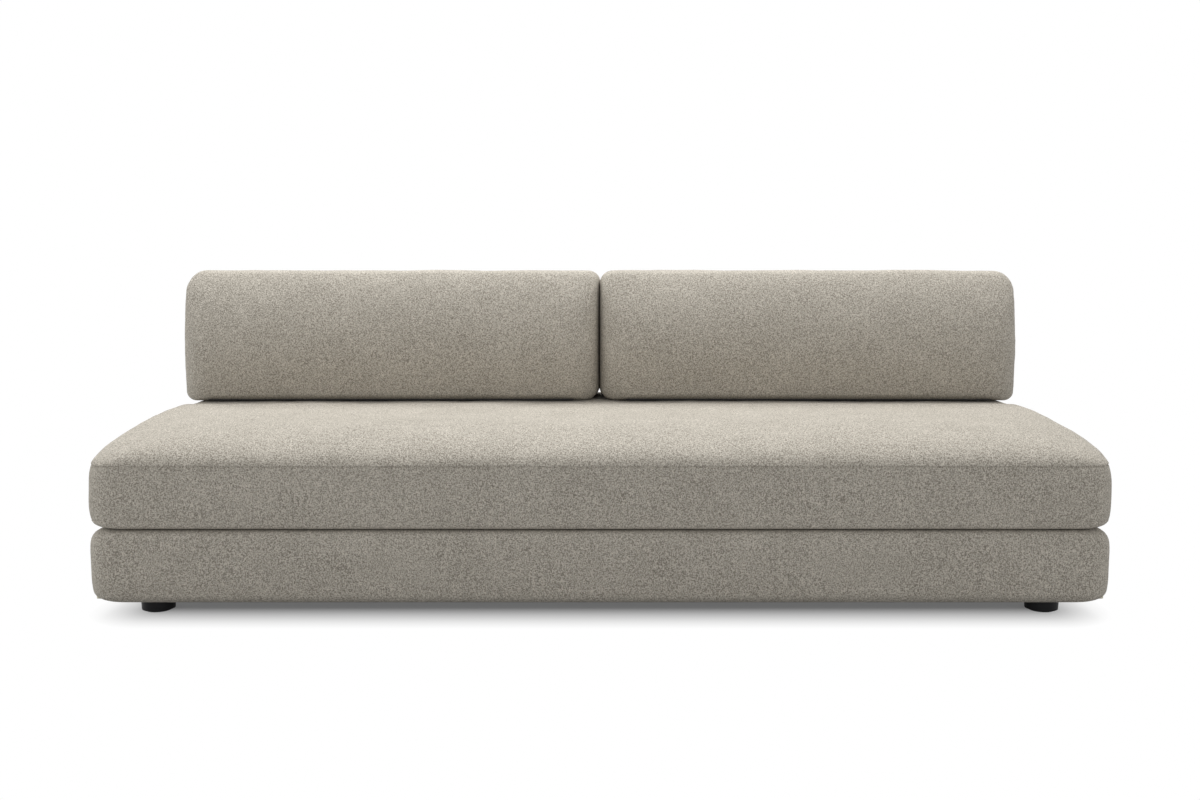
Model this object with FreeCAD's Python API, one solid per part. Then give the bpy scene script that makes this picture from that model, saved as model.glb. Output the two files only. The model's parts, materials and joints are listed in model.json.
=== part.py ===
"""Armless sofa: an upholstered platform, one long bench cushion and two free-standing back cushions.

Millimetres, +Z up, the front faces -Y. The origin is on the floor, in the middle of the plan.
"""

import FreeCAD, Part
import math
import os

Vector = FreeCAD.Vector

# Overall plan
SOFA_WIDTH = 2310.0
SEAT_DEPTH = 1000.0
PLAN_CORNER_RADIUS = 66.0

# Heights above the floor
FOOT_HEIGHT = 42.0
BASE_TOP = 211.5
SEAT_SEAM = 354.5
SEAT_TOP = 432.6
BACK_TOP = 789.0

# Clearances
BODY_GAP = 0.3
SOFT_GAP = 0.3
THREAD_GAP = 0.05

# Cloth
COVER_THICKNESS = 2.0
DUST_COVER_THICKNESS = 1.0
DUST_COVER_MARGIN = 22.0
DECK_CLOTH_THICKNESS = 0.8
HEM_WIDTH = 16.0

# Upholstered platform
BASE_BULGE = 6.0
BASE_BOTTOM_ROUND = 22.0
BASE_TOP_ROUND = 30.0
DECK_PAD_THICKNESS = 26.0

# Timber frame
FRAME_EDGE_CLEAR = 10.0
FRAME_CORNER_CLEAR = 1.5
RAIL_THICKNESS = 25.0
CROSS_RAIL_THICKNESS = 25.0
CROSS_RAIL_DROP = 25.0
CROSS_RAIL_OFFSET = 560.0
HOUSING_DEPTH = 8.0
PLATE_THICKNESS = 18.0
CORNER_PLATE_LEG = 205.0
CORNER_PLATE_SNIP = 34.0
CORNER_BLOCK_LEG = 58.0
CORNER_BLOCK_SNIP = 10.0
CORNER_BLOCK_HEIGHT = 82.0
CENTRE_PLATE_SIDE = 140.0

# Woven webbing
STRAP_WIDTH = 70.0
STRAP_THICKNESS = 2.0
STRAP_GAP = 0.3
SHORT_STRAP_SPACING = 160.0
LONG_STRAP_SPACING = 180.0
STRAP_EDGE_CLEAR = 4.0
STRAP_END_SETBACK = 3.0

# Feet
FOOT_RADIUS = 39.4
FOOT_TAPER = 2.0
FOOT_END_INSET = 122.0
FOOT_EDGE_INSET = 122.0
GLIDE_RADIUS = 30.0
GLIDE_THICKNESS = 4.0
GLIDE_CHAMFER = 1.2
STUD_RADIUS = 4.0
STUD_FOOT_DEPTH = 24.0
STUD_RAIL_DEPTH = 20.0
TEE_NUT_FLANGE_SIDE = 22.0
TEE_NUT_FLANGE_THICKNESS = 1.6
TEE_NUT_BARREL_RADIUS = 5.5
TEE_NUT_BARREL_LENGTH = 12.0
STUD_SLIT = 14.0

# Bench cushion
SEAT_BULGE = 6.0
SEAT_BOTTOM_ROUND = 19.0
BOXING_FLAT_SHARE = 0.3
CROWN_SIDE_REACH = 45.0
CROWN_FRONT_REACH = 264.0
CROWN_REAR_REACH = 45.0
CROWN_CORNER_GROWTH = 120.0

# How far the blocks that divide the padding reach past the sofa
CUT_REACH = 50.0

# Shape of every crown, and the steps that its surfaces and rounded edges are drawn in
CROWN_RISE = 1.6
CROWN_ROUND = 2.15
SEAT_CROWN_STEPS = (0.0, 0.35, 0.62, 0.82, 0.95, 1.0)
BACK_CROWN_STEPS = (0.0, 0.4, 0.7, 0.9, 1.0)
SHALLOW_CROWN_STEPS = (0.0, 0.65, 1.0)
ROUND_STEPS = (0.0, 0.3, 1.0)

# Back cushions
BACK_REAR_SETBACK = 35.0
BACK_BOTTOM_THICKNESS = 325.0
BACK_LEAN = 5.0
BACK_OUTER_INSET = 2.0
BACK_CENTRE_GAP = 5.0
BACK_CORNER_RADIUS = 50.0
BACK_BULGE = 4.0
BACK_FRONT_CROWN = 48.0
BACK_FRONT_REACH = 112.0
BACK_REAR_CROWN = 22.0
BACK_REAR_REACH = 56.0
GRIP_MAT_THICKNESS = 1.0
GRIP_MAT_MARGIN = 70.0
BACK_BOARD_THICKNESS = 15.0
BACK_BOARD_MARGIN = 58.0
BACK_BOARD_SETBACK = 96.0
BOARD_LIFT = 24.0
FOOT_BOARD_DEPTH = 176.0
BALLAST_THICKNESS = 8.0
BALLAST_DEPTH = 110.0
BALLAST_MARGIN = 150.0

# Zip fasteners
ZIP_TAPE_HEIGHT = 24.0
ZIP_TAPE_THICKNESS = 1.2
ZIP_COIL_HEIGHT = 4.0
ZIP_COIL_PROUD = 0.9
ZIP_END_MARGIN = 150.0
SLIDER_LENGTH = 14.0
SLIDER_HEIGHT = 10.0
SLIDER_THICKNESS = 2.4
PULL_LENGTH = 24.0
PULL_WIDTH = 6.0
PULL_THICKNESS = 1.0
PULL_HOLE_RADIUS = 1.6
ZIP_FACE_MARGIN = 4.0

# Worked out
ZIP_PROUD = BODY_GAP + SLIDER_THICKNESS + PULL_THICKNESS
HALF_WIDTH = SOFA_WIDTH / 2
FRONT_Y = -(SEAT_DEPTH + ZIP_PROUD) / 2
REAR_Y = FRONT_Y + SEAT_DEPTH
COVER_BOTTOM = FOOT_HEIGHT + DUST_COVER_THICKNESS
FRAME_BOTTOM = COVER_BOTTOM + COVER_THICKNESS
FRAME_INSET = BASE_BULGE + BASE_BOTTOM_ROUND + COVER_THICKNESS + FRAME_EDGE_CLEAR
COVER_INNER_RADIUS = PLAN_CORNER_RADIUS - COVER_THICKNESS
FRAME_CORNER_REACH = COVER_INNER_RADIUS - FRAME_EDGE_CLEAR
FRAME_CORNER_ROOM = math.sqrt(COVER_INNER_RADIUS**2 - FRAME_CORNER_REACH**2)
FRAME_CORNER_CUT = FRAME_CORNER_REACH - FRAME_CORNER_ROOM + FRAME_CORNER_CLEAR
FRAME_HALF_WIDTH = HALF_WIDTH - FRAME_INSET
FRAME_FRONT = FRONT_Y + FRAME_INSET
FRAME_REAR = REAR_Y - FRAME_INSET
DECK_PAD_TOP = BASE_TOP - COVER_THICKNESS - SOFT_GAP
DECK_CLOTH_TOP = DECK_PAD_TOP - DECK_PAD_THICKNESS
DECK_CLOTH_BOTTOM = DECK_CLOTH_TOP - DECK_CLOTH_THICKNESS
FRAME_TOP = DECK_CLOTH_BOTTOM - 2 * STRAP_THICKNESS - 2 * STRAP_GAP
PLATE_TOP = FRAME_BOTTOM + PLATE_THICKNESS
FOOT_X = HALF_WIDTH - FOOT_END_INSET
FOOT_FRONT_Y = FRONT_Y + FOOT_EDGE_INSET
FOOT_REAR_Y = REAR_Y - FOOT_EDGE_INSET
MIDDLE_Y = (FRONT_Y + REAR_Y) / 2
SEAT_BOTTOM = BASE_TOP + BODY_GAP
BACK_REST = SEAT_TOP + BODY_GAP
BACK_BOTTOM = BACK_REST + GRIP_MAT_THICKNESS
BACK_REAR_Y = REAR_Y - BACK_REAR_SETBACK
BACK_FRONT_Y = BACK_REAR_Y - BACK_BOTTOM_THICKNESS
BACK_FRONT_SEAM_Y = BACK_FRONT_Y + BACK_FRONT_CROWN
BACK_REAR_SEAM_Y = BACK_REAR_Y - BACK_REAR_CROWN
BACK_ZIP_HEIGHT = BACK_BULGE + BACK_REAR_REACH + ZIP_FACE_MARGIN + ZIP_TAPE_HEIGHT / 2
SEAT_ZIP_Z = (SEAT_BOTTOM + SEAT_SEAM) / 2
CORNERS = [(side, end) for end in (-1, 1) for side in (-1, 1)]

os.makedirs("parts", exist_ok=True)


def save(name, shapes):
    """Write one sub-part, a solid or a list of separate solids, as a STEP file."""
    solids = [solid for shape in shapes for solid in shape.Solids]
    result = solids[0] if len(solids) == 1 else Part.makeCompound(solids)
    result.exportStep(f"parts/{name}.step")


def box_between(low, high):
    """Box from its lowest corner to its highest corner."""
    return Part.makeBox(high[0] - low[0], high[1] - low[1], high[2] - low[2], Vector(*low))


def rounded_outline(low_u, high_u, low_v, high_v, low_radius, high_radius, place):
    """Closed wire of a rectangle with quarter-round corners; place maps (u, v) to a point.

    low_radius rounds the two corners at low_v, and high_radius the two at high_v.
    """
    a, b = low_radius, high_radius
    ends = [
        (low_u + a, low_v), (high_u - a, low_v), (high_u, low_v + a), (high_u, high_v - b),
        (high_u - b, high_v), (low_u + b, high_v), (low_u, high_v - b), (low_u, low_v + a),
    ]
    centres = [
        (high_u - a, low_v + a), (high_u - b, high_v - b),
        (low_u + b, high_v - b), (low_u + a, low_v + a),
    ]
    radii = [a, b, b, a]
    edges = []
    for side in range(4):
        start, corner = ends[2 * side], ends[2 * side + 1]
        after = ends[(2 * side + 2) % 8]
        angle = math.radians(-45.0 + 90.0 * side)
        middle = (
            centres[side][0] + radii[side] * math.cos(angle),
            centres[side][1] + radii[side] * math.sin(angle),
        )
        edges.append(Part.LineSegment(place(*start), place(*corner)).toShape())
        edges.append(Part.Arc(place(*corner), place(*middle), place(*after)).toShape())
    return Part.Wire(edges)


def loft(wires):
    """Closed solid through matching wires, straight from each to the next."""
    return Part.makeLoft(wires, True, True)


def flat_zone():
    """Lower and upper limits of a boxing's flat middle, as shares of its height."""
    return [0.5 - BOXING_FLAT_SHARE / 2, 0.5 + BOXING_FLAT_SHARE / 2]


def boxing_inset(share, bulge):
    """Inset of a boxing at a share of its height: none in its flat middle, bulge at its seams."""
    off_middle = abs(2 * share - 1)
    return bulge * (max(0.0, off_middle - BOXING_FLAT_SHARE) / (1 - BOXING_FLAT_SHARE)) ** 2


def round_inset(height, radius):
    """Inset of a quarter round at a height above its edge."""
    if height >= radius:
        return 0.0
    return radius - math.sqrt(radius**2 - (radius - height) ** 2)


def crown_inset(share, reach):
    """Inset of a crowned top at a share of its rise: steep at the seam and level at the top."""
    return reach * (1 - (1 - share**CROWN_RISE) ** (1 / CROWN_ROUND))


def plan_wire(side, front, rear, front_radius, rear_radius, z):
    """Outline of the sofa's plan at height z, drawn in by the given insets."""
    return rounded_outline(
        -HALF_WIDTH + side, HALF_WIDTH - side, FRONT_Y + front, REAR_Y - rear,
        front_radius, rear_radius, lambda x, y: Vector(x, y, z),
    )


def boxed_wires(bottom, top, offset, bulge, bottom_round, top_round, shares):
    """Plan outlines of a boxed block, offset inwards all round."""
    wires = []
    for share in shares:
        height = share * (top - bottom)
        inset = boxing_inset(share, bulge)
        inset += round_inset(height, bottom_round) + round_inset(top - bottom - height, top_round)
        z = bottom + height
        z = max(z, bottom + offset)
        if top_round:
            z = min(z, top - offset)
        draw_in = inset + offset
        radius = PLAN_CORNER_RADIUS - offset
        wires.append(plan_wire(draw_in, draw_in, draw_in, radius, radius, z))
    return wires


def base_block(offset):
    """The platform's padded block."""
    height = BASE_TOP - COVER_BOTTOM
    shares = [BASE_BOTTOM_ROUND * step / height for step in ROUND_STEPS]
    shares += flat_zone()
    shares += [1 - BASE_TOP_ROUND * step / height for step in reversed(ROUND_STEPS)]
    rounds = (BASE_BOTTOM_ROUND, BASE_TOP_ROUND)
    return loft(boxed_wires(COVER_BOTTOM, BASE_TOP, offset, BASE_BULGE, *rounds, shares))


def seat_box(offset):
    """The bench cushion below its seam."""
    height = SEAT_SEAM - SEAT_BOTTOM
    shares = [SEAT_BOTTOM_ROUND * step / height for step in ROUND_STEPS]
    shares += flat_zone() + [1.0]
    return loft(boxed_wires(SEAT_BOTTOM, SEAT_SEAM, offset, SEAT_BULGE, SEAT_BOTTOM_ROUND, 0.0, shares))


def seat_crown(offset, seam_growth):
    """The bench cushion's crowned top, from its seam up.

    Its front corners are wider at the top, and seam_growth says how much wider they are at the seam.
    """
    rear_radius = PLAN_CORNER_RADIUS - offset
    wires = []
    for share in SEAT_CROWN_STEPS:
        growth = seam_growth + (CROWN_CORNER_GROWTH - seam_growth) * share**CROWN_RISE
        wires.append(
            plan_wire(
                SEAT_BULGE + offset + crown_inset(share, CROWN_SIDE_REACH),
                SEAT_BULGE + offset + crown_inset(share, CROWN_FRONT_REACH),
                SEAT_BULGE + offset + crown_inset(share, CROWN_REAR_REACH),
                rear_radius + growth,
                rear_radius,
                SEAT_SEAM + (SEAT_TOP - offset - SEAT_SEAM) * share,
            )
        )
    return loft(wires)


def above(z):
    """A block that holds everything above height z."""
    low = (-HALF_WIDTH - CUT_REACH, FRONT_Y - CUT_REACH, z)
    return box_between(low, (HALF_WIDTH + CUT_REACH, REAR_Y + CUT_REACH, BACK_TOP + CUT_REACH))


def below(z):
    """A block that holds everything below height z."""
    low = (-HALF_WIDTH - CUT_REACH, FRONT_Y - CUT_REACH, -CUT_REACH)
    return box_between(low, (HALF_WIDTH + CUT_REACH, REAR_Y + CUT_REACH, z))


def base_cover():
    """Fabric cover of the platform, turned under the rails in a hem."""
    shell = base_block(0.0).cut(base_block(COVER_THICKNESS))
    hem_x = FRAME_HALF_WIDTH - RAIL_THICKNESS - HEM_WIDTH
    opening = box_between(
        (-hem_x, FRAME_FRONT + RAIL_THICKNESS + HEM_WIDTH, 0),
        (hem_x, FRAME_REAR - RAIL_THICKNESS - HEM_WIDTH, FRAME_BOTTOM + 1),
    )
    return shell.cut(opening)


def save_base_padding():
    """Foam round the frame's four sides and the pad on top of its deck."""
    block = base_block(COVER_THICKNESS + SOFT_GAP)
    sides = block.common(below(DECK_CLOTH_TOP))
    far = HALF_WIDTH + CUT_REACH
    panels = {
        "base_foam_front": ((-far, FRONT_Y - CUT_REACH, 0), (far, FRAME_FRONT, BASE_TOP)),
        "base_foam_rear": ((-far, FRAME_REAR, 0), (far, REAR_Y + CUT_REACH, BASE_TOP)),
        "base_foam_left": ((-far, FRAME_FRONT, 0), (-FRAME_HALF_WIDTH, FRAME_REAR, BASE_TOP)),
        "base_foam_right": ((FRAME_HALF_WIDTH, FRAME_FRONT, 0), (far, FRAME_REAR, BASE_TOP)),
    }
    for name, (low, high) in panels.items():
        save(name, [sides.common(box_between(low, high))])
    save("deck_pad", [block.common(above(DECK_CLOTH_TOP))])


def deck_cloth():
    """Thin cloth between the webbing and the deck pad."""
    return box_between(
        (-FRAME_HALF_WIDTH, FRAME_FRONT, DECK_CLOTH_BOTTOM), (FRAME_HALF_WIDTH, FRAME_REAR, DECK_CLOTH_TOP)
    )


def cross_rail_places():
    """Middle of each cross rail, by the name of its node."""
    return {
        "left_cross_rail": -CROSS_RAIL_OFFSET,
        "centre_cross_rail": 0.0,
        "right_cross_rail": CROSS_RAIL_OFFSET,
    }


def cross_rail(x):
    """One front-to-rear rail, let into the long rails at both ends."""
    inside = RAIL_THICKNESS - HOUSING_DEPTH
    rail = box_between(
        (x - CROSS_RAIL_THICKNESS / 2, FRAME_FRONT + inside, PLATE_TOP),
        (x + CROSS_RAIL_THICKNESS / 2, FRAME_REAR - inside, FRAME_TOP - CROSS_RAIL_DROP),
    )
    if x == 0.0:
        rail = rail.cut(Part.makeCylinder(STUD_RADIUS, STUD_RAIL_DEPTH, Vector(x, MIDDLE_Y, PLATE_TOP)))
    return rail


def long_rail(outer, inward):
    """Front or rear rail, its outer corners cut off to clear the cover's rounded corners."""
    end, cut = FRAME_HALF_WIDTH, FRAME_CORNER_CUT
    inner = outer + inward * RAIL_THICKNESS
    shoulder = outer + inward * cut
    plan = [
        (-end, inner), (-end, shoulder), (cut - end, outer),
        (end - cut, outer), (end, shoulder), (end, inner),
    ]
    points = [Vector(x, y, FRAME_BOTTOM) for x, y in plan + plan[:1]]
    return Part.Face(Part.makePolygon(points)).extrude(Vector(0, 0, FRAME_TOP - FRAME_BOTTOM))


def save_frame():
    """Rails of the timber frame."""
    cross_rails = {name: cross_rail(x) for name, x in cross_rail_places().items()}
    for name, outer, inward in (("front_rail", FRAME_FRONT, 1), ("rear_rail", FRAME_REAR, -1)):
        rail = long_rail(outer, inward)
        for housed in cross_rails.values():
            rail = rail.cut(housed)
        save(name, [rail])
    for name, side in (("left_rail", -1), ("right_rail", 1)):
        outer = side * FRAME_HALF_WIDTH
        inner = outer - side * RAIL_THICKNESS
        low = (min(inner, outer), FRAME_FRONT + RAIL_THICKNESS, FRAME_BOTTOM)
        high = (max(inner, outer), FRAME_REAR - RAIL_THICKNESS, FRAME_TOP)
        save(name, [box_between(low, high)])
    for name, rail in cross_rails.items():
        save(name, [rail])


def corner_prism(leg, snip, bottom, height, side, end):
    """Right-angled block in an inside corner of the frame, its two tips cut square."""
    corner_x = side * (FRAME_HALF_WIDTH - RAIL_THICKNESS)
    corner_y = FRAME_FRONT + RAIL_THICKNESS if end < 0 else FRAME_REAR - RAIL_THICKNESS
    outline = [(0, 0), (leg, 0), (leg, snip), (snip, leg), (0, leg), (0, 0)]
    points = [Vector(corner_x - side * u, corner_y - end * v, bottom) for u, v in outline]
    return Part.Face(Part.makePolygon(points)).extrude(Vector(0, 0, height))


def foot_centres():
    """Centre of each foot, by the name of its place."""
    places = {}
    for side, end in CORNERS:
        row = "front" if end < 0 else "rear"
        hand = "left" if side < 0 else "right"
        places[f"{row}_{hand}"] = (side * FOOT_X, FOOT_FRONT_Y if end < 0 else FOOT_REAR_Y)
    places["centre"] = (0.0, MIDDLE_Y)
    return places


def tee_nut(x, y):
    """Threaded insert in a corner plate: a barrel under a square flange."""
    half = TEE_NUT_FLANGE_SIDE / 2
    flange_top = PLATE_TOP + TEE_NUT_FLANGE_THICKNESS
    flange = box_between((x - half, y - half, PLATE_TOP), (x + half, y + half, flange_top))
    bottom = PLATE_TOP - TEE_NUT_BARREL_LENGTH
    height = TEE_NUT_BARREL_LENGTH + TEE_NUT_FLANGE_THICKNESS
    barrel = Part.makeCylinder(TEE_NUT_BARREL_RADIUS, TEE_NUT_BARREL_LENGTH, Vector(x, y, bottom))
    bore = Part.makeCylinder(STUD_RADIUS + THREAD_GAP, height, Vector(x, y, bottom))
    return flange.fuse(barrel).cut(bore)


def save_corners():
    """Plates that carry the feet, glue blocks above them, and the threaded inserts."""
    plates = []
    blocks = []
    nuts = []
    for side, end in CORNERS:
        x = side * FOOT_X
        y = FOOT_FRONT_Y if end < 0 else FOOT_REAR_Y
        corner = (side, end)
        plate = corner_prism(CORNER_PLATE_LEG, CORNER_PLATE_SNIP, FRAME_BOTTOM, PLATE_THICKNESS, *corner)
        hole = Part.makeCylinder(TEE_NUT_BARREL_RADIUS, PLATE_THICKNESS + 2, Vector(x, y, FRAME_BOTTOM - 1))
        plates.append(plate.cut(hole))
        block = corner_prism(CORNER_BLOCK_LEG, CORNER_BLOCK_SNIP, PLATE_TOP, CORNER_BLOCK_HEIGHT, *corner)
        blocks.append(block)
        nuts.append(tee_nut(x, y))
    save("corner_plates", plates)
    save("corner_blocks", blocks)
    save("tee_nuts", nuts)
    half = CENTRE_PLATE_SIDE / 2
    plate = box_between((-half, MIDDLE_Y - half, FRAME_BOTTOM), (half, MIDDLE_Y + half, PLATE_TOP))
    hole = Part.makeCylinder(STUD_RADIUS, PLATE_THICKNESS, Vector(0, MIDDLE_Y, FRAME_BOTTOM))
    save("centre_foot_plate", [plate.cut(hole)])


def strap_middles(low, high, spacing):
    """Evenly spaced strap middles between two limits, centred on them."""
    count = int((high - low - STRAP_WIDTH) // spacing) + 1
    first = (low + high) / 2 - spacing * (count - 1) / 2
    return [first + spacing * step for step in range(count)]


def woven_profile(start, end, rail_start, rail_end, crossings, parity):
    """Side view of one strap as (along, height) pairs: over and under the straps that it crosses."""
    low = FRAME_TOP
    high = FRAME_TOP + STRAP_THICKNESS + STRAP_GAP
    half = STRAP_WIDTH / 2 + STRAP_EDGE_CLEAR
    line = [(start, low), (rail_start, low)]
    for index, middle in enumerate(crossings):
        level = high if (index + parity) % 2 == 0 else low
        line += [(middle - half, level), (middle + half, level)]
    line += [(rail_end, low), (end, low)]
    inner = zip(line, line[1:], line[2:])
    turns = [point for before, point, after in inner if not before[1] == point[1] == after[1]]
    return [line[0]] + turns + [line[-1]]


def strap(profile, across, lengthwise):
    """One flat strap with a woven profile, STRAP_WIDTH wide."""
    top = [(along, height + STRAP_THICKNESS) for along, height in reversed(profile)]
    loop = profile + top + [profile[0]]
    near = across - STRAP_WIDTH / 2
    if lengthwise:
        points = [Vector(along, near, height) for along, height in loop]
        return Part.Face(Part.makePolygon(points)).extrude(Vector(0, STRAP_WIDTH, 0))
    points = [Vector(near, along, height) for along, height in loop]
    return Part.Face(Part.makePolygon(points)).extrude(Vector(STRAP_WIDTH, 0, 0))


def save_webbing():
    """Elastic straps woven over and under each other and tacked to the tops of the rails."""
    inner_x = FRAME_HALF_WIDTH - RAIL_THICKNESS
    inner_front = FRAME_FRONT + RAIL_THICKNESS
    inner_rear = FRAME_REAR - RAIL_THICKNESS
    columns = strap_middles(-inner_x, inner_x, SHORT_STRAP_SPACING)
    rows = strap_middles(inner_front, inner_rear, LONG_STRAP_SPACING)
    end_x = FRAME_HALF_WIDTH - STRAP_END_SETBACK
    short_ends = (FRAME_FRONT + STRAP_END_SETBACK, FRAME_REAR - STRAP_END_SETBACK)
    short = []
    for index, x in enumerate(columns):
        profile = woven_profile(*short_ends, inner_front, inner_rear, rows, index)
        short.append(strap(profile, x, lengthwise=False))
    long = []
    for index, y in enumerate(rows):
        profile = woven_profile(-end_x, end_x, -inner_x, inner_x, columns, index + 1)
        long.append(strap(profile, y, lengthwise=True))
    save("webbing_front_to_rear", short)
    save("webbing_lengthwise", long)


def dust_cover():
    """Thin black cloth that closes the underside, cut square round each foot stud."""
    half = FRAME_HALF_WIDTH - DUST_COVER_MARGIN
    front = FRAME_FRONT + DUST_COVER_MARGIN
    rear = FRAME_REAR - DUST_COVER_MARGIN
    sheet = box_between((-half, front, FOOT_HEIGHT), (half, rear, COVER_BOTTOM))
    reach = STUD_SLIT / 2
    for x, y in foot_centres().values():
        slit = box_between((x - reach, y - reach, FOOT_HEIGHT), (x + reach, y + reach, COVER_BOTTOM))
        sheet = sheet.cut(slit)
    return sheet


def turned(x, y, profile):
    """Solid turned about the upright line at (x, y), from its (radius, height) profile."""
    points = [Vector(x + radius, y, z) for radius, z in profile + profile[:1]]
    return Part.Face(Part.makePolygon(points)).revolve(Vector(x, y, 0), Vector(0, 0, 1), 360)


def foot(x, y):
    """Round moulded foot, slightly tapered, with a socket for its stud."""
    bottom = GLIDE_THICKNESS
    socket_bottom = FOOT_HEIGHT - STUD_FOOT_DEPTH
    return turned(
        x, y,
        [
            (0, bottom), (FOOT_RADIUS - FOOT_TAPER, bottom), (FOOT_RADIUS, FOOT_HEIGHT),
            (STUD_RADIUS, FOOT_HEIGHT), (STUD_RADIUS, socket_bottom), (0, socket_bottom),
        ],
    )


def glide(x, y):
    """Hard pad under a foot."""
    radius, top, chamfer = GLIDE_RADIUS, GLIDE_THICKNESS, GLIDE_CHAMFER
    return turned(x, y, [(0, 0), (radius - chamfer, 0), (radius, chamfer), (radius, top), (0, top)])


def save_feet():
    """Feet, glides and studs."""
    studs = []
    for place, (x, y) in foot_centres().items():
        save(f"foot_{place}", [foot(x, y)])
        save(f"foot_glide_{place}", [glide(x, y)])
        top = PLATE_TOP + (STUD_RAIL_DEPTH if place == "centre" else TEE_NUT_FLANGE_THICKNESS)
        bottom = FOOT_HEIGHT - STUD_FOOT_DEPTH
        studs.append(Part.makeCylinder(STUD_RADIUS, top - bottom, Vector(x, y, bottom)))
    save("foot_studs", studs)


def zip_tape(left, right, face_y, z):
    """Closed zip let into a rear panel: a flat tape with its coil standing proud."""
    half = ZIP_TAPE_HEIGHT / 2
    tape = box_between((left, face_y - ZIP_TAPE_THICKNESS, z - half), (right, face_y, z + half))
    half_coil = ZIP_COIL_HEIGHT / 2
    coil = box_between((left, face_y, z - half_coil), (right, face_y + ZIP_COIL_PROUD, z + half_coil))
    return tape.fuse(coil).removeSplitter()


def zip_slider(right, face_y, z):
    """Slider astride the coil at the closed end, with its pull hanging flat over it."""
    left = right - SLIDER_LENGTH
    near = face_y + BODY_GAP
    half = SLIDER_HEIGHT / 2
    body = box_between((left, near, z - half), (right, near + SLIDER_THICKNESS, z + half))
    channel_half = ZIP_COIL_HEIGHT / 2 + BODY_GAP
    channel_end = face_y + ZIP_COIL_PROUD + BODY_GAP
    channel = box_between(
        (left - 1, near - 1, z - channel_half), (right + 1, channel_end, z + channel_half)
    )
    body = body.cut(channel)
    middle = (left + right) / 2
    pull_near = near + SLIDER_THICKNESS
    pull_low = z + half - PULL_LENGTH
    pull_half = PULL_WIDTH / 2
    pull = box_between(
        (middle - pull_half, pull_near, pull_low), (middle + pull_half, pull_near + PULL_THICKNESS, z + half)
    )
    hole_centre = Vector(middle, pull_near - 1, pull_low + PULL_WIDTH / 2)
    hole = Part.makeCylinder(PULL_HOLE_RADIUS, PULL_THICKNESS + 2, hole_centre, Vector(0, 1, 0))
    return body.fuse(pull.cut(hole)).removeSplitter()


def save_seat():
    """The bench cushion: three sewn panels, a foam core, a soft topper and a zip."""
    tape = zip_tape(-HALF_WIDTH + ZIP_END_MARGIN, HALF_WIDTH - ZIP_END_MARGIN, REAR_Y, SEAT_ZIP_Z)
    shell = seat_box(0.0).cut(seat_box(COVER_THICKNESS)).cut(tape)
    bottom_seam = SEAT_BOTTOM + SEAT_BOTTOM_ROUND
    save("seat_boxing", [shell.common(above(bottom_seam))])
    save("seat_bottom_panel", [shell.common(below(bottom_seam))])
    save("seat_top_panel", [seat_crown(0.0, 0.0).cut(seat_crown(COVER_THICKNESS, 0.0))])
    save("seat_foam", [seat_box(COVER_THICKNESS + SOFT_GAP)])
    save("seat_topper", [seat_crown(COVER_THICKNESS + SOFT_GAP, CROWN_CORNER_GROWTH)])
    save("seat_zip_tape", [tape])
    save("seat_zip_slider", [zip_slider(HALF_WIDTH - ZIP_END_MARGIN, REAR_Y, SEAT_ZIP_Z)])


def back_wire(side, y, lean, draw_in, radius):
    """Outline of a back cushion, drawn in all round, in a plane that leans about its bottom line."""
    inner = BACK_CENTRE_GAP / 2
    outer = HALF_WIDTH - BACK_OUTER_INSET
    tilt = math.radians(lean)
    slope_length = (BACK_TOP - BACK_BOTTOM) / math.cos(tilt)

    def place(x, along):
        return Vector(side * x, y + along * math.sin(tilt), BACK_BOTTOM + along * math.cos(tilt))

    return rounded_outline(
        inner + draw_in, outer - draw_in, draw_in, slope_length - draw_in, radius, radius, place
    )


def back_crown(side, offset, face_y, depth, reach, lean, steps):
    """Crowned face of a back cushion, from its seam to the face itself at face_y.

    depth is how far the seam lies from the face, towards +Y if positive.
    """
    wires = []
    for share in steps:
        away = depth - (depth - math.copysign(offset, depth)) * share
        draw_in = BACK_BULGE + offset + crown_inset(share, reach)
        wires.append(back_wire(side, face_y + away, lean, draw_in, BACK_CORNER_RADIUS - offset))
    return loft(wires)


def back_front(side, offset):
    """Crowned front of a back cushion, which leans."""
    shape = (BACK_FRONT_Y, BACK_FRONT_CROWN, BACK_FRONT_REACH, BACK_LEAN)
    return back_crown(side, offset, *shape, BACK_CROWN_STEPS)


def back_rear(side, offset):
    """Gently crowned rear of a back cushion, which stands upright."""
    shape = (BACK_REAR_Y, -BACK_REAR_CROWN, BACK_REAR_REACH, 0.0)
    return back_crown(side, offset, *shape, SHALLOW_CROWN_STEPS)


def back_band(side, offset):
    """Middle of a back cushion: fullest half way, and drawn in at the seam on either side."""
    wires = []
    for share in [0.0] + flat_zone() + [1.0]:
        y = BACK_FRONT_SEAM_Y + (BACK_REAR_SEAM_Y - BACK_FRONT_SEAM_Y) * share
        draw_in = offset + boxing_inset(share, BACK_BULGE)
        wires.append(back_wire(side, y, BACK_LEAN * (1 - share), draw_in, BACK_CORNER_RADIUS - offset))
    return loft(wires)


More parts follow.
